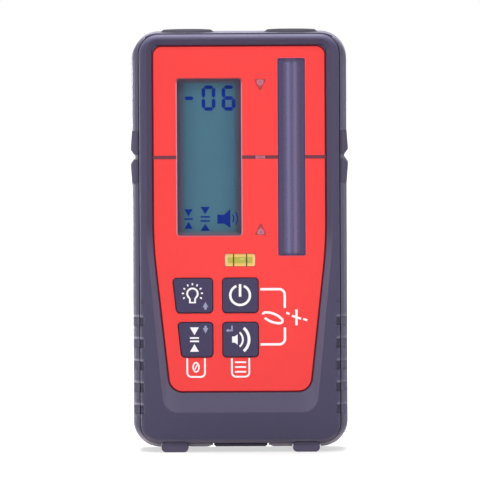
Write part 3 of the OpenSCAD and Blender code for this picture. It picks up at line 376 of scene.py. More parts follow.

# Display: a liquid crystal cell in a moulded frame over a light guide. The cell is painted dark
# towards its edges, as painted shade from the frame, and paler along its foot, as painted light; its
# segments show as blue ink under the glass.
panel_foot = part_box("fascia_panel")[0].z
window_left, window_right, window_foot, window_top = -22.0, 0.7, 55.55, 111.05
frame_shade, wide_shade = (0.3 * MM, 1.9 * MM), (0, 9 * MM)
left_shade, right_shade = (0.8 * MM, 4.0 * MM), (1.0 * MM, 3.4 * MM)
top_shade, foot_light = (0.8 * MM, 2.2 * MM), (0.1 * MM, 1.6 * MM)
lcd_skin, lcd_shader, lcd_place = new_finish("lcd_cell", {"Specular IOR Level": 0.15})
lcd_x = lcd_place.along("X")
lcd_z = lcd_place.along("Z") - panel_foot
from_left, from_right = lcd_x - window_left * MM, window_right * MM - lcd_x
from_top, from_foot = window_top * MM - lcd_z, lcd_z - window_foot * MM
# Painted shade towards the frame and broadly towards the sides, and painted light along the foot.
clear_of_frame = from_left.rise(*frame_shade) * from_right.rise(*frame_shade) * from_top.rise(*frame_shade)
lit = from_left.rise(*left_shade) * from_right.rise(*right_shade) * from_top.rise(*top_shade)
well_inside = from_left.rise(*wide_shade) * from_right.rise(*wide_shade)
lcd_tint = lcd_place.noise(14 * MM).between(paint(61, 103, 122), paint(67, 109, 129))
lcd_tint = well_inside.between(paint(56, 92, 113), lcd_tint)
lcd_tint = lit.between(paint(56, 71, 90), lcd_tint)
lcd_tint = clear_of_frame.between(paint(86, 70, 90), lcd_tint)
lcd_tint = from_foot.rise(*foot_light).between(paint(120, 112, 130), lcd_tint)
lcd_tint.to(lcd_shader, "Base Color")
(lcd_place.noise(0.5 * MM) * 0.1 + 0.3).to(lcd_shader, "Roughness")
light_guide = moulded("light_guide", paint(226, 228, 224), paint(240, 240, 240), roughness=0.4,
                      grain=0.5 * MM, bite=0.1)
dress(lcd_skin, "lcd_glass")
dress(black_skin, "lcd_frame")
dress(light_guide, "lcd_backlight")


def corners_of(parts):
    """The corners among the parts that an operator gives back."""
    return [part for part in parts if isinstance(part, bmesh.types.BMVert)]


def thicken(shape, film):
    """Gives flat faces a thickness towards the user."""
    front = bmesh.ops.extrude_face_region(shape, geom=shape.faces[:])["geom"]
    bmesh.ops.translate(shape, verts=corners_of(front), vec=(0, -film, 0))


class Print:
    """Ink on a face that looks at the user: strokes of a pen and filled patches, in millimetres across
    from the middle and up from the panel's foot."""

    def __init__(self, film=0.04):
        self.shape = bmesh.new()
        self.film = film

    def patch(self, *corners):
        """A filled patch between its corners, each given across and up."""
        self.shape.faces.new([self.shape.verts.new((x, 0, z)) for x, z in corners])

    def stroke(self, x, z, heading, width, *moves):
        """A pen set down with a heading in degrees. A number moves it straight on; a pair of radius
        and degrees turns it, to the left if the degrees are positive."""
        turn = Matrix.Rotation(math.radians(heading), 3, (0, -1, 0))
        at, ahead, left = Vector((x, 0, z)), turn @ Vector((1, 0, 0)), turn @ Vector((0, 0, 1))
        tips = [self.shape.verts.new(at + left * side * width / 2) for side in (1, -1)]
        nib = self.shape.edges.new(tips)
        for move in moves:
            if isinstance(move, tuple):
                radius, degrees = move
                centre = at + left * math.copysign(radius, degrees)
                turn = Matrix.Rotation(math.radians(degrees), 3, (0, -1, 0))
                tips = corners_of(bmesh.ops.spin(self.shape, geom=[*tips, nib], cent=centre, axis=(0, -1, 0),
                                                 angle=math.radians(degrees),
                                                 steps=max(3, round(abs(degrees) / 8)))["geom_last"])
                at, ahead, left = centre + turn @ (at - centre), turn @ ahead, turn @ left
            else:
                tips = corners_of(bmesh.ops.extrude_edge_only(self.shape, edges=[nib])["geom"])
                bmesh.ops.translate(self.shape, verts=tips, vec=ahead * move)
                at = at + ahead * move
            nib = self.shape.edges.get(tips)

    def bar(self, start, end, width):
        """A straight stroke from one place to another."""
        run = Vector(end) - Vector(start)
        self.stroke(*start, math.degrees(math.atan2(run.y, run.x)), width, run.length)

    def arc(self, x, z, radius, start, sweep, width):
        """Part of a ring round a middle, from a bearing in degrees, to the left if the sweep is positive."""
        first = Matrix.Rotation(math.radians(start), 2) @ Vector((radius, 0))
        self.stroke(x + first.x, z + first.y, start + math.copysign(90, sweep), width, (radius, sweep))

    def lay(self, name, face, finish, body):
        """Gives the ink its thickness on a face at that depth."""
        thicken(self.shape, self.film)
        bmesh.ops.scale(self.shape, verts=self.shape.verts, vec=(MM, MM, MM))
        bmesh.ops.translate(self.shape, verts=self.shape.verts, vec=(0, face, panel_foot))
        piece(name, self.shape, finish, body)


def ink(name, colour, roughness=0.5, levels=()):
    """Screen ink: a thin film with pinholes and a slightly uneven colour."""
    finish, shader, place = new_finish(name, dict(levels))
    film = place.noise(0.3 * MM, detail=3.0)
    film.between(shade(colour, 0.93), colour).to(shader, "Base Color")
    (film * 0.15 + (roughness - 0.07)).to(shader, "Roughness")
    return finish


lcd_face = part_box("lcd_glass")[0].y
segments = Print()
digit_w, digit_half, digit_z = 3.6, 3.85, 104.15
segment_w, segment_gap = 1.3, 0.1
bar_w, wave_w, wave_x, wave_z = 0.55, 0.42, -4.8, 61.4
segment_ends = {"top": ((0, 1), (1, 1)), "middle": ((0, 0), (1, 0)), "foot": ((0, -1), (1, -1)),
                "left_up": ((0, 0), (0, 1)), "left_down": ((0, -1), (0, 0)),
                "right_up": ((1, 0), (1, 1)), "right_down": ((1, -1), (1, 0))}
figures = [(-19.5, ["middle"]),
           (-12.6, ["top", "foot", "left_up", "left_down", "right_up", "right_down"]),
           (-5.5, ["top", "middle", "foot", "left_up", "left_down", "right_down"])]
for figure_x, shown in figures:
    for name in shown:
        (x0, z0), (x1, z1) = segment_ends[name]
        start = Vector((figure_x + x0 * digit_w, digit_z + z0 * digit_half))
        end = Vector((figure_x + x1 * digit_w, digit_z + z1 * digit_half))
        run = (end - start).normalized()
        side = Vector((-run.y, run.x)) * segment_w / 2
        near, far = start + run * segment_gap, end - run * segment_gap
        inner, outer = near + run * segment_w / 2, far - run * segment_w / 2
        segments.patch(near, inner - side, outer - side, far, outer + side, inner + side)
for arrow_x, half, head_z, down_z, up_z, foot_z in ((-18.1, 1.48, 64.8, 62.2, 60.4, 57.8),
                                                    (-12.2, 1.67, 65.6, 63.0, 59.6, 57.1)):
    segments.patch((arrow_x - half, head_z), (arrow_x, down_z), (arrow_x + half, head_z))
    segments.patch((arrow_x - half, foot_z), (arrow_x + half, foot_z), (arrow_x, up_z))
for bar_left, bar_right, bar_z in ((-19.6, -16.6, 61.3), (-13.9, -10.5, 62.05), (-13.9, -10.5, 60.6)):
    segments.bar((bar_left, bar_z), (bar_right, bar_z), bar_w)
segments.patch((-7.9, 59.6), (-5.5, 59.6), (-3.3, 58.1), (-3.3, 64.8), (-5.5, 62.8), (-7.9, 62.8))
for wave_r, sweep in ((2.7, 60), (4.0, 66)):
    segments.arc(wave_x, wave_z, wave_r, -sweep / 2, sweep, wave_w)
lcd_ink = ink("lcd_ink", paint(0, 38, 130), roughness=0.4, levels={"Specular IOR Level": 0.05})
segments.lay("display_segments", lcd_face, lcd_ink, "housing")

# Front shell: the bezel, moulded in the same ABS and closed on the tub with a rubber cord in its
# seam; four screws pull it down from the back. A bevelled recess with a deep foot takes the panel. The
# recess and the undersides along the foot are painted paler as painted light, and the finger notches
# carry painted shade in their floors and painted highlights on their edges.
front_skin = moulded("front_skin", shell_colour, shell_worn, roughness=0.62, grain=shell_grain,
                     levels={"Specular IOR Level": 0.24})
front_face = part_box("front_shell")[0].y
recess_half_w, recess_foot, recess_edge = 33.0 * MM, 12.4 * MM, 0.4 * MM
recess_lip, recess_fade, beside_keys = (0.03 * MM, 0.15 * MM), (66 * MM, 84 * MM), (20 * MM, 26 * MM)
foot_fade = (shell_foot + 3 * MM, shell_foot + 6 * MM)
front_shader, front_first, front_place = second_coat(front_skin)
front_up = front_place.along("Z")
front_out = front_place.along("X").off(0)
# Painted light: the recess is painted paler, most beside the panel.
in_recess = ((front_place.along("Y") - front_face).rise(*recess_lip)
             * (1 - front_out.rise(recess_half_w, recess_half_w + recess_edge))
             * front_up.rise(recess_foot, recess_foot + recess_edge) * (1 - front_up.rise(*recess_fade)))
beside_panel = front_out.rise(*beside_keys)
front_tint = (in_recess * (beside_panel * 0.22 + 0.4)).between(front_first, paint(102, 96, 120))
# Painted light: undersides near the foot are painted pale, as light bounced up from the floor.
at_foot = facing_down(front_place).rise(0.05, 0.6) * (1 - front_up.rise(*foot_fade))
front_tint = (at_foot * 0.8).between(front_tint, paint(112, 105, 122))
# Painted shade in the floor of each notch, and a painted highlight over its top edge.
over_notch, at_notches = by_notches(front_place)
notch_shade = over_notch.rise(notch_pitch - notch_h, notch_pitch - notch_h + 0.5 * MM) * at_notches
front_tint = (notch_shade * 0.5).between(front_tint, paint(40, 37, 52))
notch_highlights = (1 - over_notch.rise(*notch_highlight_band)) * at_notches
notch_highlights.between(front_tint, paint(108, 102, 122)).to(front_shader, "Base Color")
dress(front_skin, "front_shell")
dress(seal_skin, "shell_seal")

low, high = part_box("case_screws")
head_r, head_t, shank_r = 2.3, 2.0, 1.25
drive_r, drive_deep, drive_lobes, lobe_share = 1.15, 1.3, 6, 0.13
screw_l = (high.y - low.y) / MM
screws = bmesh.new()
for x in (low.x + head_r * MM, high.x - head_r * MM):
    for z in (low.z + head_r * MM, high.z - head_r * MM):
        seat = Vector((x, high.y, z))
        turned(screws, seat, inwards, [
            (0, drive_deep), (drive_r - 0.05, drive_deep - 0.05), (drive_r, 0.1), (drive_r + 0.12, 0),
            (head_r - 0.4, 0.05), (head_r, 0.5), (head_r, head_t), (shank_r, head_t),
            (shank_r, screw_l - 1), (0.4, screw_l), (0, screw_l)], steps=36)
        drive_floor = high.y - (drive_deep - 0.02) * MM
        for vert in screws.verts:
            arm = Vector((vert.co.x - x, 0, vert.co.z - z))
            if 0.5 * MM < arm.length < (drive_r + 0.15) * MM and vert.co.y > drive_floor:
                lobe = 1 + lobe_share * math.cos(drive_lobes * math.atan2(arm.z, arm.x))
                vert.co = Vector((x, vert.co.y, z)) + arm * lobe
piece("case_screws_driven", screws, metal("black_steel", paint(72, 72, 76), 0.4), "housing",
      ["case_screws"])

# Panel: a polycarbonate plate, painted red and screen-printed, glued into the recess, with upper
# corners that the bezel rounds off. The mark line runs across it at the level of the laser, and the
# white signs tell what the keys do.
panel_red = moulded("panel_red", paint(240, 61, 60), paint(255, 150, 140), roughness=0.42, grain=0.2 * MM,
                    bite=0.06, soft=0.15, levels={"Specular IOR Level": 0.3})
dress(panel_red, "fascia_panel")
panel_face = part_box("fascia_panel")[0].y
panel_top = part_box("fascia_panel")[1].z
panel_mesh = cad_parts["fascia_panel"].data
white_ink = ink("white_ink", paint(250, 244, 248))

# Painted shade: a dark red ring round the panel's edge and its upper corners, where the gap to the bezel
# lies.
gap_shade_w, gap_shade_film = 0.45, 0.02
panel_rim = bmesh.new()
panel_rim.from_mesh(panel_mesh)
bmesh.ops.remove_doubles(panel_rim, verts=panel_rim.verts, dist=0.001 * MM)
printed_face = [face for face in panel_rim.faces if face.normal.y < -0.9]
shade_ring = set(bmesh.ops.inset_region(panel_rim, faces=printed_face, thickness=gap_shade_w * MM,
                                     use_even_offset=True)["faces"])
bmesh.ops.delete(panel_rim, geom=[face for face in panel_rim.faces if face not in shade_ring], context="FACES")
outer = {min(panel_rim.verts, key=lambda vert: vert.co.z)}
grown = outer
while grown:
    grown = {edge.other_vert(vert) for vert in grown for edge in vert.link_edges} - outer
    outer |= grown
bmesh.ops.delete(panel_rim, geom=[vert for vert in panel_rim.verts if vert not in outer], context="VERTS")
thicken(panel_rim, gap_shade_film * MM)
gap_shade_ink = ink("gap_shade_ink", paint(104, 8, 26), levels={"Specular IOR Level": 0.1})
piece("panel_gap_shade", panel_rim, gap_shade_ink, "housing")

corner_r, corner_steps = 3.4, 8
corner_x = max(vert.co.x for vert in panel_mesh.vertices if vert.co.z > panel_top - 3 * MM) / MM
corner_z = (panel_top - panel_foot) / MM
corner_bend = [Matrix.Rotation(math.radians(90 * step / corner_steps), 2) @ Vector((corner_r, 0))
               for step in range(corner_steps + 1)]
corner_shade_lines = Print()
corner_fill = Print(film=0.05)
for side in (-1, 1):
    bend_x, bend_z = side * (corner_x - corner_r), corner_z - corner_r
    edge_arc = [(bend_x + side * point.x, bend_z + point.y) for point in corner_bend]
    corner_fill.patch((side * corner_x, corner_z), *(edge_arc if side > 0 else reversed(edge_arc)))
    corner_shade_lines.stroke(side * (corner_x - gap_shade_w / 2), bend_z, 90, gap_shade_w,
                        (corner_r - gap_shade_w / 2, side * 90))
corner_fill.lay("bezel_corners", panel_face, front_skin, "housing")
corner_shade_lines.lay("panel_corner_shade", panel_face, gap_shade_ink, "housing")

bracket_start, bracket_end, bracket_r, bracket_w = 7.2, 15.85, 2.0, 0.85
bracket_run = bracket_end - bracket_r - bracket_start
upper_bracket, upper_side, lower_bracket, lower_side = 36.45, 4.7, 16.87, 3.95
loop_x, loop_z, loop_end_r, loop_side_r = 8.1, 27.5, 0.85, 7.4
dash_w, post_x, post_w = 0.76, 19.97, 0.86
signs = Print()
signs.stroke(bracket_start, upper_bracket, 0, bracket_w, bracket_run, (bracket_r, -90), upper_side)
signs.stroke(bracket_start, lower_bracket, 0, bracket_w, bracket_run, (bracket_r, 90), lower_side)
signs.stroke(loop_x, loop_z, 80, bracket_w, (loop_end_r, -76.5), (loop_side_r, -51), (loop_end_r, -129),
             (loop_side_r, -46))
for dash_start, dash_end in (((16.4, 28.06), (17.5, 27.62)), ((18.37, 26.95), (19.57, 26.58)),
                             ((20.37, 26.3), (21.57, 25.93)), ((22.3, 25.85), (23.8, 25.35))):
    signs.bar(dash_start, dash_end, dash_w)
signs.bar((post_x, 29.2), (post_x, 23.6), post_w)
tray_top, tray_side, tray_r, tray_w = 12.04, 5.12, 1.5, 0.62
for tray_left, tray_right in ((-18.8, -12.54), (-2.99, 3.16)):
    tray_run = tray_right - tray_left - 2 * tray_r
    signs.stroke(tray_left, tray_top, -90, tray_w, tray_side, (tray_r, 90), tray_run, (tray_r, 90), tray_side)
zero_x, zero_z, zero_w, slash_w = -15.7, 8.84, 0.52, 0.42
zero_side, zero_end = (2.32, -65.3), (0.8, -114.7)
signs.stroke(zero_x - 0.67, zero_z - 1.25, 122.7, zero_w, zero_side, zero_end, zero_side, zero_end)
signs.bar((zero_x - 0.52, zero_z - 0.95), (zero_x + 0.52, zero_z + 0.95), slash_w)
list_left, list_right, list_w = -1.9, 2.05, 0.6
for line_z in (10.57, 8.87, 7.17):
    signs.bar((list_left, line_z), (list_right, line_z), list_w)
signs.lay("panel_signs", panel_face, white_ink, "housing")

mark_z, mark_w, mark_end = 83.3, 1.2, 30.6
pipe_left, pipe_right = 5.75, 9.25
sensor_left, sensor_right = 13.675, 23.325
display_gap, sensor_gap = 0.3, 0.02
mark_line = Print(film=0.07)
for start_x, end_x in ((-mark_end, window_left - display_gap), (window_right + display_gap, pipe_left),
                       (pipe_right, sensor_left - sensor_gap), (sensor_right + sensor_gap, mark_end)):
    mark_line.bar((start_x, mark_z), (end_x, mark_z), mark_w)
mark_ink = ink("mark_ink", paint(92, 20, 44))
mark_line.lay("panel_mark_line", panel_face, mark_ink, "housing")

# Display lens: a clear acrylic cover, cut from sheet and glued behind the panel. The panel's cut edge
# round it is bare polycarbonate, painted as a thin pale line: a painted highlight along its sides, with
# painted shade at its foot and more at its top.
def cut_edge(name, left, right, foot_z, top_z, width, finish):
    """The rim of an opening in the panel: a rounded outline set inwards, with its middle taken out."""
    corner, corner_cuts = 0.6, 6
    rim = Print(film=0.05)
    rim.patch((left - width, foot_z - width), (right + width, foot_z - width),
              (right + width, top_z + width), (left - width, top_z + width))
    bmesh.ops.bevel(rim.shape, geom=rim.shape.verts[:], offset=corner + width, affect="VERTICES",
                    segments=corner_cuts, profile=0.5, material=-1)
    bmesh.ops.inset_region(rim.shape, faces=rim.shape.faces[:], thickness=width, use_boundary=True,
                           use_even_offset=True)
    middle = max(rim.shape.faces, key=lambda face: face.calc_area())
    bmesh.ops.delete(rim.shape, geom=[middle], context="FACES_ONLY")
    rim.lay(name, panel_face, finish, "housing")


lens_skin, lens_shader, lens_place = new_finish("clear_lens", {
    "Base Color": paint(240, 244, 246), "Alpha": 0.005, "Specular IOR Level": 0.15})
(lens_place.noise(6 * MM, detail=3.0) * 0.06 + 0.05).to(lens_shader, "Roughness")
dress(lens_skin, "display_lens")
bare_edge, edge_shader, edge_place = new_finish("bare_edge", {"Roughness": 0.3})
# Painted highlight on the pale sides; painted shade makes the foot fainter and the top dark.
edge_z = edge_place.along("Z") - panel_foot
edge_tint = edge_place.noise(2 * MM, detail=3.0).between(paint(176, 112, 134), paint(198, 140, 156))
edge_tint = edge_z.rise(window_foot * MM, (window_foot + 1) * MM).between(paint(190, 84, 104), edge_tint)
edge_top = edge_z.rise((window_top - 2) * MM, window_top * MM)
edge_top.between(edge_tint, paint(140, 44, 60)).to(edge_shader, "Base Color")
cut_edge("display_edge", window_left, window_right, window_foot, window_top, 0.38, bare_edge)

# Sensor window: a strip of dark filter plastic that passes the laser's light to the diodes. Its
# middle is drawn out to a round band, which is painted lighter than the sides as painted light, with
# two painted highlights of the lamps along it. The panel's cut edge round it shows as a thin pink line.
sensor_skin, sensor_shader, sensor_place = new_finish("filter_skin", {"Specular IOR Level": 0.35})
sensor_x = (sensor_left + sensor_right) / 2
low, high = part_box("photodiode_array")
sensor_foot, sensor_top = (low.z - panel_foot) / MM, (high.z - panel_foot) / MM
band_side, highlight_side = (2.2 * MM, 3.1 * MM), (0.1 * MM, 0.9 * MM)
band_foot = ((sensor_foot + 0.6) * MM, (sensor_foot + 1.3) * MM)
band_top = ((sensor_top - 1.9) * MM, (sensor_top - 0.9) * MM)
across_band = sensor_place.along("X") - sensor_x * MM
up_band = sensor_place.along("Z") - panel_foot
glitter = sensor_place.noise(0.45 * MM)
sides = glitter.between(paint(58, 49, 82), paint(70, 59, 97))
# The band is painted lighter than the sides, with two painted highlights of the lamps on it.
band_painted_light = glitter.rise(0.3, 0.7).between(paint(76, 68, 102), paint(92, 84, 120))
for highlight_x, highlight_tint in ((-1.05, paint(104, 102, 142)), (1.3, paint(114, 98, 130))):
    painted_highlight = 1 - across_band.off(highlight_x * MM).rise(*highlight_side)
    band_painted_light = (painted_highlight * 0.75).between(band_painted_light, highlight_tint)
on_band = ((1 - across_band.off(0).rise(*band_side)) * up_band.rise(*band_foot)
           * (1 - up_band.rise(*band_top)))
on_band.between(sides, band_painted_light).to(sensor_shader, "Base Color")
(glitter * 0.2 + 0.3).to(sensor_shader, "Roughness")
sensor_place.add("Bump", {}, {"Strength": 0.25, "Distance": 0.05 * MM, "Height": glitter}).to(
    sensor_shader, "Normal")
dress(sensor_skin, "sensor_window")
pink_edge, pink_shader, pink_place = new_finish("pink_edge", {"Roughness": 0.35, "Specular IOR Level": 0.3})
pink_tint = pink_place.noise(2 * MM, detail=3.0).between(paint(222, 70, 92), paint(232, 84, 104))
pink_tint.to(pink_shader, "Base Color")
cut_edge("sensor_edge", sensor_left, sensor_right, sensor_foot, sensor_top, 0.32, pink_edge)

# Light marks: two arrows and a bar of milky red acrylic that stand in the panel. Each carries the
# light of a lamp on the board, whose round head shows through it, so the user sees where to go.
mark_skin, mark_shader, mark_place = new_finish("light_mark", {"Roughness": 0.35})
dots_to_metre, dot_depth = 900.0, 0.05 * MM
dots = mark_place.add("TexVoronoi", {"feature": "F1"},
                      {"Vector": mark_place, "Scale": dots_to_metre, "Randomness": 0.2})
mark_flat = mark_place.add("VectorMath", {"operation": "MULTIPLY"}, {0: mark_place, 1: (1, 0, 1)})
mark_tint = dots.rise(0.2, 0.5).between(paint(146, 42, 58), paint(178, 54, 68))
for node, level, spread in (("light_pipe_upper", 2 / 3, 1.45 * MM), ("light_pipe_centre", 1 / 2, 3.0 * MM),
                            ("light_pipe_lower", 1 / 3, 1.45 * MM)):
    low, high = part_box(node)
    lamp_middle = ((low.x + high.x) / 2, 0, low.z + (high.z - low.z) * level)
    off_lamp = mark_flat.add("VectorMath", {"operation": "DISTANCE"}, {0: mark_flat, 1: lamp_middle},
                             out="Value")
    lamp_tint = off_lamp.rise(0.15 * spread, 0.6 * spread).between(paint(162, 84, 104), paint(190, 106, 126))
    mark_tint = off_lamp.rise(0.6 * spread, spread).between(lamp_tint, mark_tint)
mark_tint.to(mark_shader, "Base Color")
mark_place.add("Bump", {}, {"Strength": 0.3, "Distance": dot_depth, "Height": dots}).to(mark_shader, "Normal")
dress(mark_skin, "light_pipe_upper", "light_pipe_centre", "light_pipe_lower")

# Level vial: a clear acrylic block, drilled and filled with yellow-green spirit, and closed with a
# plug. The bubble is centred between two black lines when the staff is upright.
vial_skin, vial_shader, vial_place = new_finish("vial_acrylic", {"Specular IOR Level": 0.3})
low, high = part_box("vial_fluid")
vial_middle = ((low + high) / 2 - Vector((0, 0, panel_foot))) / MM
vial_half_w, vial_half_h, vial_rim_w, vial_rim_h = 5.35, 2.2, 1.25, 1.5
from_ends = vial_half_w * MM - vial_place.along("X").off(vial_middle.x * MM)
from_sides = vial_half_h * MM - vial_place.along("Z").off(vial_middle.z * MM + panel_foot)
clear_of_ends = from_ends.rise(vial_rim_w / 2 * MM, vial_rim_w * MM)
clear_of_sides = from_sides.rise(vial_rim_h / 2 * MM, vial_rim_h * MM)
rim_glow = 1 - clear_of_ends * clear_of_sides
rim_tint = clear_of_ends.between(paint(255, 200, 142), paint(236, 196, 110))
rim_glow.between(paint(208, 204, 82), rim_tint).to(vial_shader, "Base Color")
(rim_glow * 0.36 + 0.6).to(vial_shader, "Alpha")
(vial_place.noise(2 * MM) * 0.08 + 0.06).to(vial_shader, "Roughness")
dress(vial_skin, "vial_body", "vial_plug")
spirit, spirit_shader, spirit_place = new_finish("vial_spirit", {"Roughness": 0.15, "Coat Weight": 0.5})
spirit_tint = spirit_place.noise(2 * MM).between(paint(228, 212, 52), paint(242, 226, 78))
spirit_tint.to(spirit_shader, "Base Color")
dress(spirit, "vial_fluid")
vial_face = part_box("vial_body")[0].y
line_off, line_half, line_w = 2.3, 2.15, 0.42
vial_lines = Print()
for line_x in (vial_middle.x - line_off, vial_middle.x + line_off):
    vial_lines.bar((line_x, vial_middle.z - line_half), (line_x, vial_middle.z + line_half), line_w)
vial_lines.lay("vial_lines", vial_face, ink("black_ink", paint(62, 46, 6)), "housing")
bubble_r, bubble_stretch = 0.62, (2.1, 0.8, 1)
bubble_x, bubble_z = vial_middle.x + 0.8, vial_middle.z + 0.5
bubble_y = low.y + 0.25 * MM
bubble = bmesh.new()
bmesh.ops.create_uvsphere(bubble, u_segments=24, v_segments=12, radius=bubble_r * MM)
bmesh.ops.scale(bubble, verts=bubble.verts, vec=bubble_stretch)
bmesh.ops.translate(bubble, verts=bubble.verts, vec=(bubble_x * MM, bubble_y, bubble_z * MM + panel_foot))
air_skin, air_shader, air_place = new_finish("vial_air", {"Coat Weight": 0.6, "Roughness": 0.1})
air_place.noise(1 * MM).between(paint(250, 244, 190), paint(255, 252, 226)).to(air_shader, "Base Color")
piece("vial_bubble", bubble, air_skin, "housing")

# Keys: four caps of hard rubber that stand a little out of the panel, each with a printed sign and
# some with a small grey one for the menu. They slide in the panel's openings.
key_skin = moulded("key_skin", paint(59, 52, 83), paint(124, 116, 146), roughness=0.6, grain=0.3 * MM,
                   levels={"Specular IOR Level": 0.28})
dress(key_skin, "light_key", "power_key", "precision_key", "volume_key")
key_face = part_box("power_key")[0].y
grey_ink = ink("grey_ink", paint(146, 145, 178))

bulb = Print()
bulb_x, bulb_z, bulb_r, bulb_w = -16.82, 35.0, 1.86, 0.66
neck_half, neck_w = 0.92, 0.6
socket_half, socket_z, socket_w = 1.22, bulb_z - 3.14, 0.5
ray_count, first_ray, ray_step = 9, -27, 29.25
ray_start, ray_end, ray_w = 3.0, 3.75, 0.5
bulb.arc(bulb_x, bulb_z, bulb_r, 236, -292, bulb_w)
for neck_x in (bulb_x - neck_half, bulb_x + neck_half):
    bulb.bar((neck_x, bulb_z - 1.62), (neck_x, bulb_z - 2.9), neck_w)
bulb.bar((bulb_x - socket_half, socket_z), (bulb_x + socket_half, socket_z), socket_w)
for ray in range(ray_count):
    way = Matrix.Rotation(math.radians(first_ray + ray * ray_step), 2) @ Vector((1, 0))
    bulb.bar(Vector((bulb_x, bulb_z)) + way * ray_start, Vector((bulb_x, bulb_z)) + way * ray_end, ray_w)
bulb.lay("light_key_sign", key_face, white_ink, "light_button")

power = Print()
power_x, power_z, power_r, power_w = 0.05, 34.4, 3.48, 0.86
post_top, post_foot, post_w = 38.3, 33.85, 0.9
power.arc(power_x, power_z, power_r, 112, 316, power_w)
power.bar((power_x, post_top), (power_x, post_foot), post_w)
power.lay("power_key_sign", key_face, white_ink, "power_button")

fineness = Print()
fine_x, fine_half, fine_top, fine_foot, fine_w = -16.2, 1.6, 23.06, 14.4, 0.58
fineness.patch((fine_x - fine_half, fine_top), (fine_x, 20.34), (fine_x + fine_half, fine_top))
fineness.patch((fine_x - fine_half, fine_foot), (fine_x + fine_half, fine_foot), (fine_x, 17.1))
for bar_z in (19.27, 18.1):
    fineness.bar((fine_x - fine_half, bar_z), (fine_x + fine_half, bar_z), fine_w)
fineness.lay("precision_key_sign", key_face, white_ink, "precision_button")

loudness = Print()
sound_x, sound_z = -2.3, 18.67
loudness.patch((-2.85, 17.6), (-2.0, 17.6), (-0.9, 16.85), (-0.9, 20.5), (-2.0, 19.75), (-2.85, 19.75))
for wave_r, sweep, wave_w in ((3.26, 100, 0.66), (5.44, 98, 1.0)):
    loudness.arc(sound_x, sound_z, wave_r, -sweep / 2, sweep, wave_w)
loudness.lay("volume_key_sign", key_face, white_ink, "volume_button")

menu_x, head_half, stem_half, head_share = -12.25, 1.02, 0.42, 0.7
for name, body, tip_z, foot_z in (("light_key_menu", "light_button", 32.05, 29.35),
                                  ("precision_key_menu", "precision_button", 20.9, 23.6)):
    menu = Print()
    neck_z = tip_z + (foot_z - tip_z) * head_share
    menu.patch((menu_x, tip_z), (menu_x - head_half, neck_z), (menu_x - stem_half, neck_z),
               (menu_x - stem_half, foot_z), (menu_x + stem_half, foot_z), (menu_x + stem_half, neck_z),
               (menu_x + head_half, neck_z))
    menu.lay(name, key_face, grey_ink, body)
enter = Print()
enter.patch((-5.1, 21.9), (-4.1, 21.25), (-4.1, 21.62), (-2.6, 21.62), (-2.6, 23.6), (-3.15, 23.6),
            (-3.15, 22.17), (-4.1, 22.17), (-4.1, 22.55))
enter.lay("volume_key_menu", key_face, grey_ink, "volume_button")

# Markers: dark rubber pads moulded over the sides and the lip, on either side of a notch in which a
# pencil marks the level on a wall. They also give the fingers a hold.
marker_skin = moulded("marker_skin", paint(77, 72, 93), paint(108, 104, 120), roughness=0.7, grain=0.4 * MM,
                      bite=0.4, levels={"Specular IOR Level": 0.25})
dress(marker_skin, "marker_left", "marker_right")

# Feet: two skids of dark rubber on which the receiver stands. They are moulded in one piece each and
# glued into pockets of the bottom edge.
foot_skin = moulded("foot_skin", paint(84, 77, 102), paint(118, 112, 130), roughness=0.8, grain=0.4 * MM,
                    bite=0.5)
dress(foot_skin, "foot_left", "foot_right")

# Studio: a pale sweep under soft light. The background stays white to the camera and in reflections,
# and the sweep keeps the shadow that the receiver throws.
def seen_rays(tree):
    """1 for the rays that see the background: straight on, in gloss or through clear plastic."""
    seen = Flow(tree).add("LightPath", out="Is Camera Ray")
    for kind in ("Is Glossy Ray", "Is Transmission Ray"):
        seen = seen + seen.add("LightPath", out=kind)
    return seen


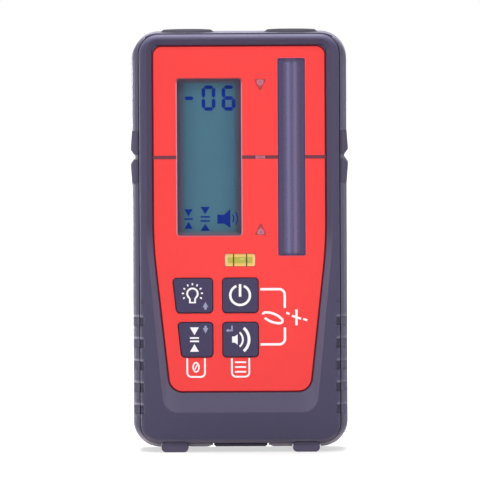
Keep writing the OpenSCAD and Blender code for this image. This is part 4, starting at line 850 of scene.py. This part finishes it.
floor_half, floor_grey = 3.0, (0.45, 0.45, 0.45, 1)
floor_shape = bmesh.new()
bmesh.ops.create_grid(floor_shape, x_segments=1, y_segments=1, size=floor_half)
floor_mesh = bpy.data.meshes.new("floor")
floor_shape.to_mesh(floor_mesh)
floor_shape.free()
floor = bpy.data.objects.new("floor", floor_mesh)
bpy.context.scene.collection.objects.link(floor)
floor_skin, floor_shader, floor_place = new_finish("floor_paper", {
    "Base Color": floor_grey, "Roughness": 0.9, "Specular IOR Level": 0.1, "Emission Strength": 1.0})
far_off = floor_place.add("VectorMath", {"operation": "LENGTH"}, {0: floor_place}, out="Value").rise(0.1, 0.5)
floor_glow = seen_rays(floor_skin.node_tree) * (far_off * 0.4 + 0.6)
floor_glow.between((0, 0, 0, 1), (1, 1, 1, 1)).to(floor_shader, "Emission Color")
floor_mesh.materials.append(floor_skin)

world = bpy.data.worlds.new("studio")
world.use_nodes = True
bpy.context.scene.world = world
backdrop = world.node_tree.nodes["Background"]
(seen_rays(world.node_tree) * 0.78 + 0.22).to(backdrop, "Strength")
backdrop.inputs["Color"].default_value = (1, 1, 1, 1)

centre = Vector((0, 0, panel_foot + 53.23 * MM))
soft_boxes = [("rim_left", (-0.95, 0.8, 0.07), (0.3, 0.14), 4.5),
              ("rim_top", (-0.1, 0.25, 1.3), (0.8, 0.3), 36.0),
              ("side_left", (-1.1, -0.17, 0.0), (0.15, 0.28), 4.0),
              ("side_right", (1.1, -0.17, 0.0), (0.15, 0.28), 1.8),
              ("top", (0, -0.75, 1.2), (1.0, 0.4), 10.6),
              ("strip_left", (-0.65, -1.5, 0.35), (0.12, 1.0), 3.5),
              ("strip_right", (0.75, -1.45, 0.35), (0.12, 1.0), 3.0)]
for name, place, size, watts in soft_boxes:
    light = bpy.data.lights.new(name, "AREA")
    light.shape = "RECTANGLE"
    light.size, light.size_y = size
    light.energy = watts
    box = bpy.data.objects.new(name, light)
    box.location = place
    box.rotation_euler = (centre - Vector(place)).to_track_quat("-Z", "Y").to_euler()
    bpy.context.scene.collection.objects.link(box)

camera_data = bpy.data.cameras.new("camera")
camera_data.lens, camera_data.sensor_width = 800, 36
camera = bpy.data.objects.new("camera", camera_data)
azimuth, elevation, tilt, distance = math.radians(0.5), math.radians(3.1), math.radians(-0.3), 3.79
camera.location = centre + distance * Vector((math.sin(azimuth) * math.cos(elevation),
                                              -math.cos(azimuth) * math.cos(elevation), math.sin(elevation)))
camera.rotation_euler = (centre - camera.location).to_track_quat("-Z", "Y").to_euler()
camera.rotation_euler.rotate_axis("Z", tilt)
bpy.context.scene.collection.objects.link(camera)
bpy.context.scene.camera = camera
bpy.context.scene.view_settings.view_transform = "Standard"
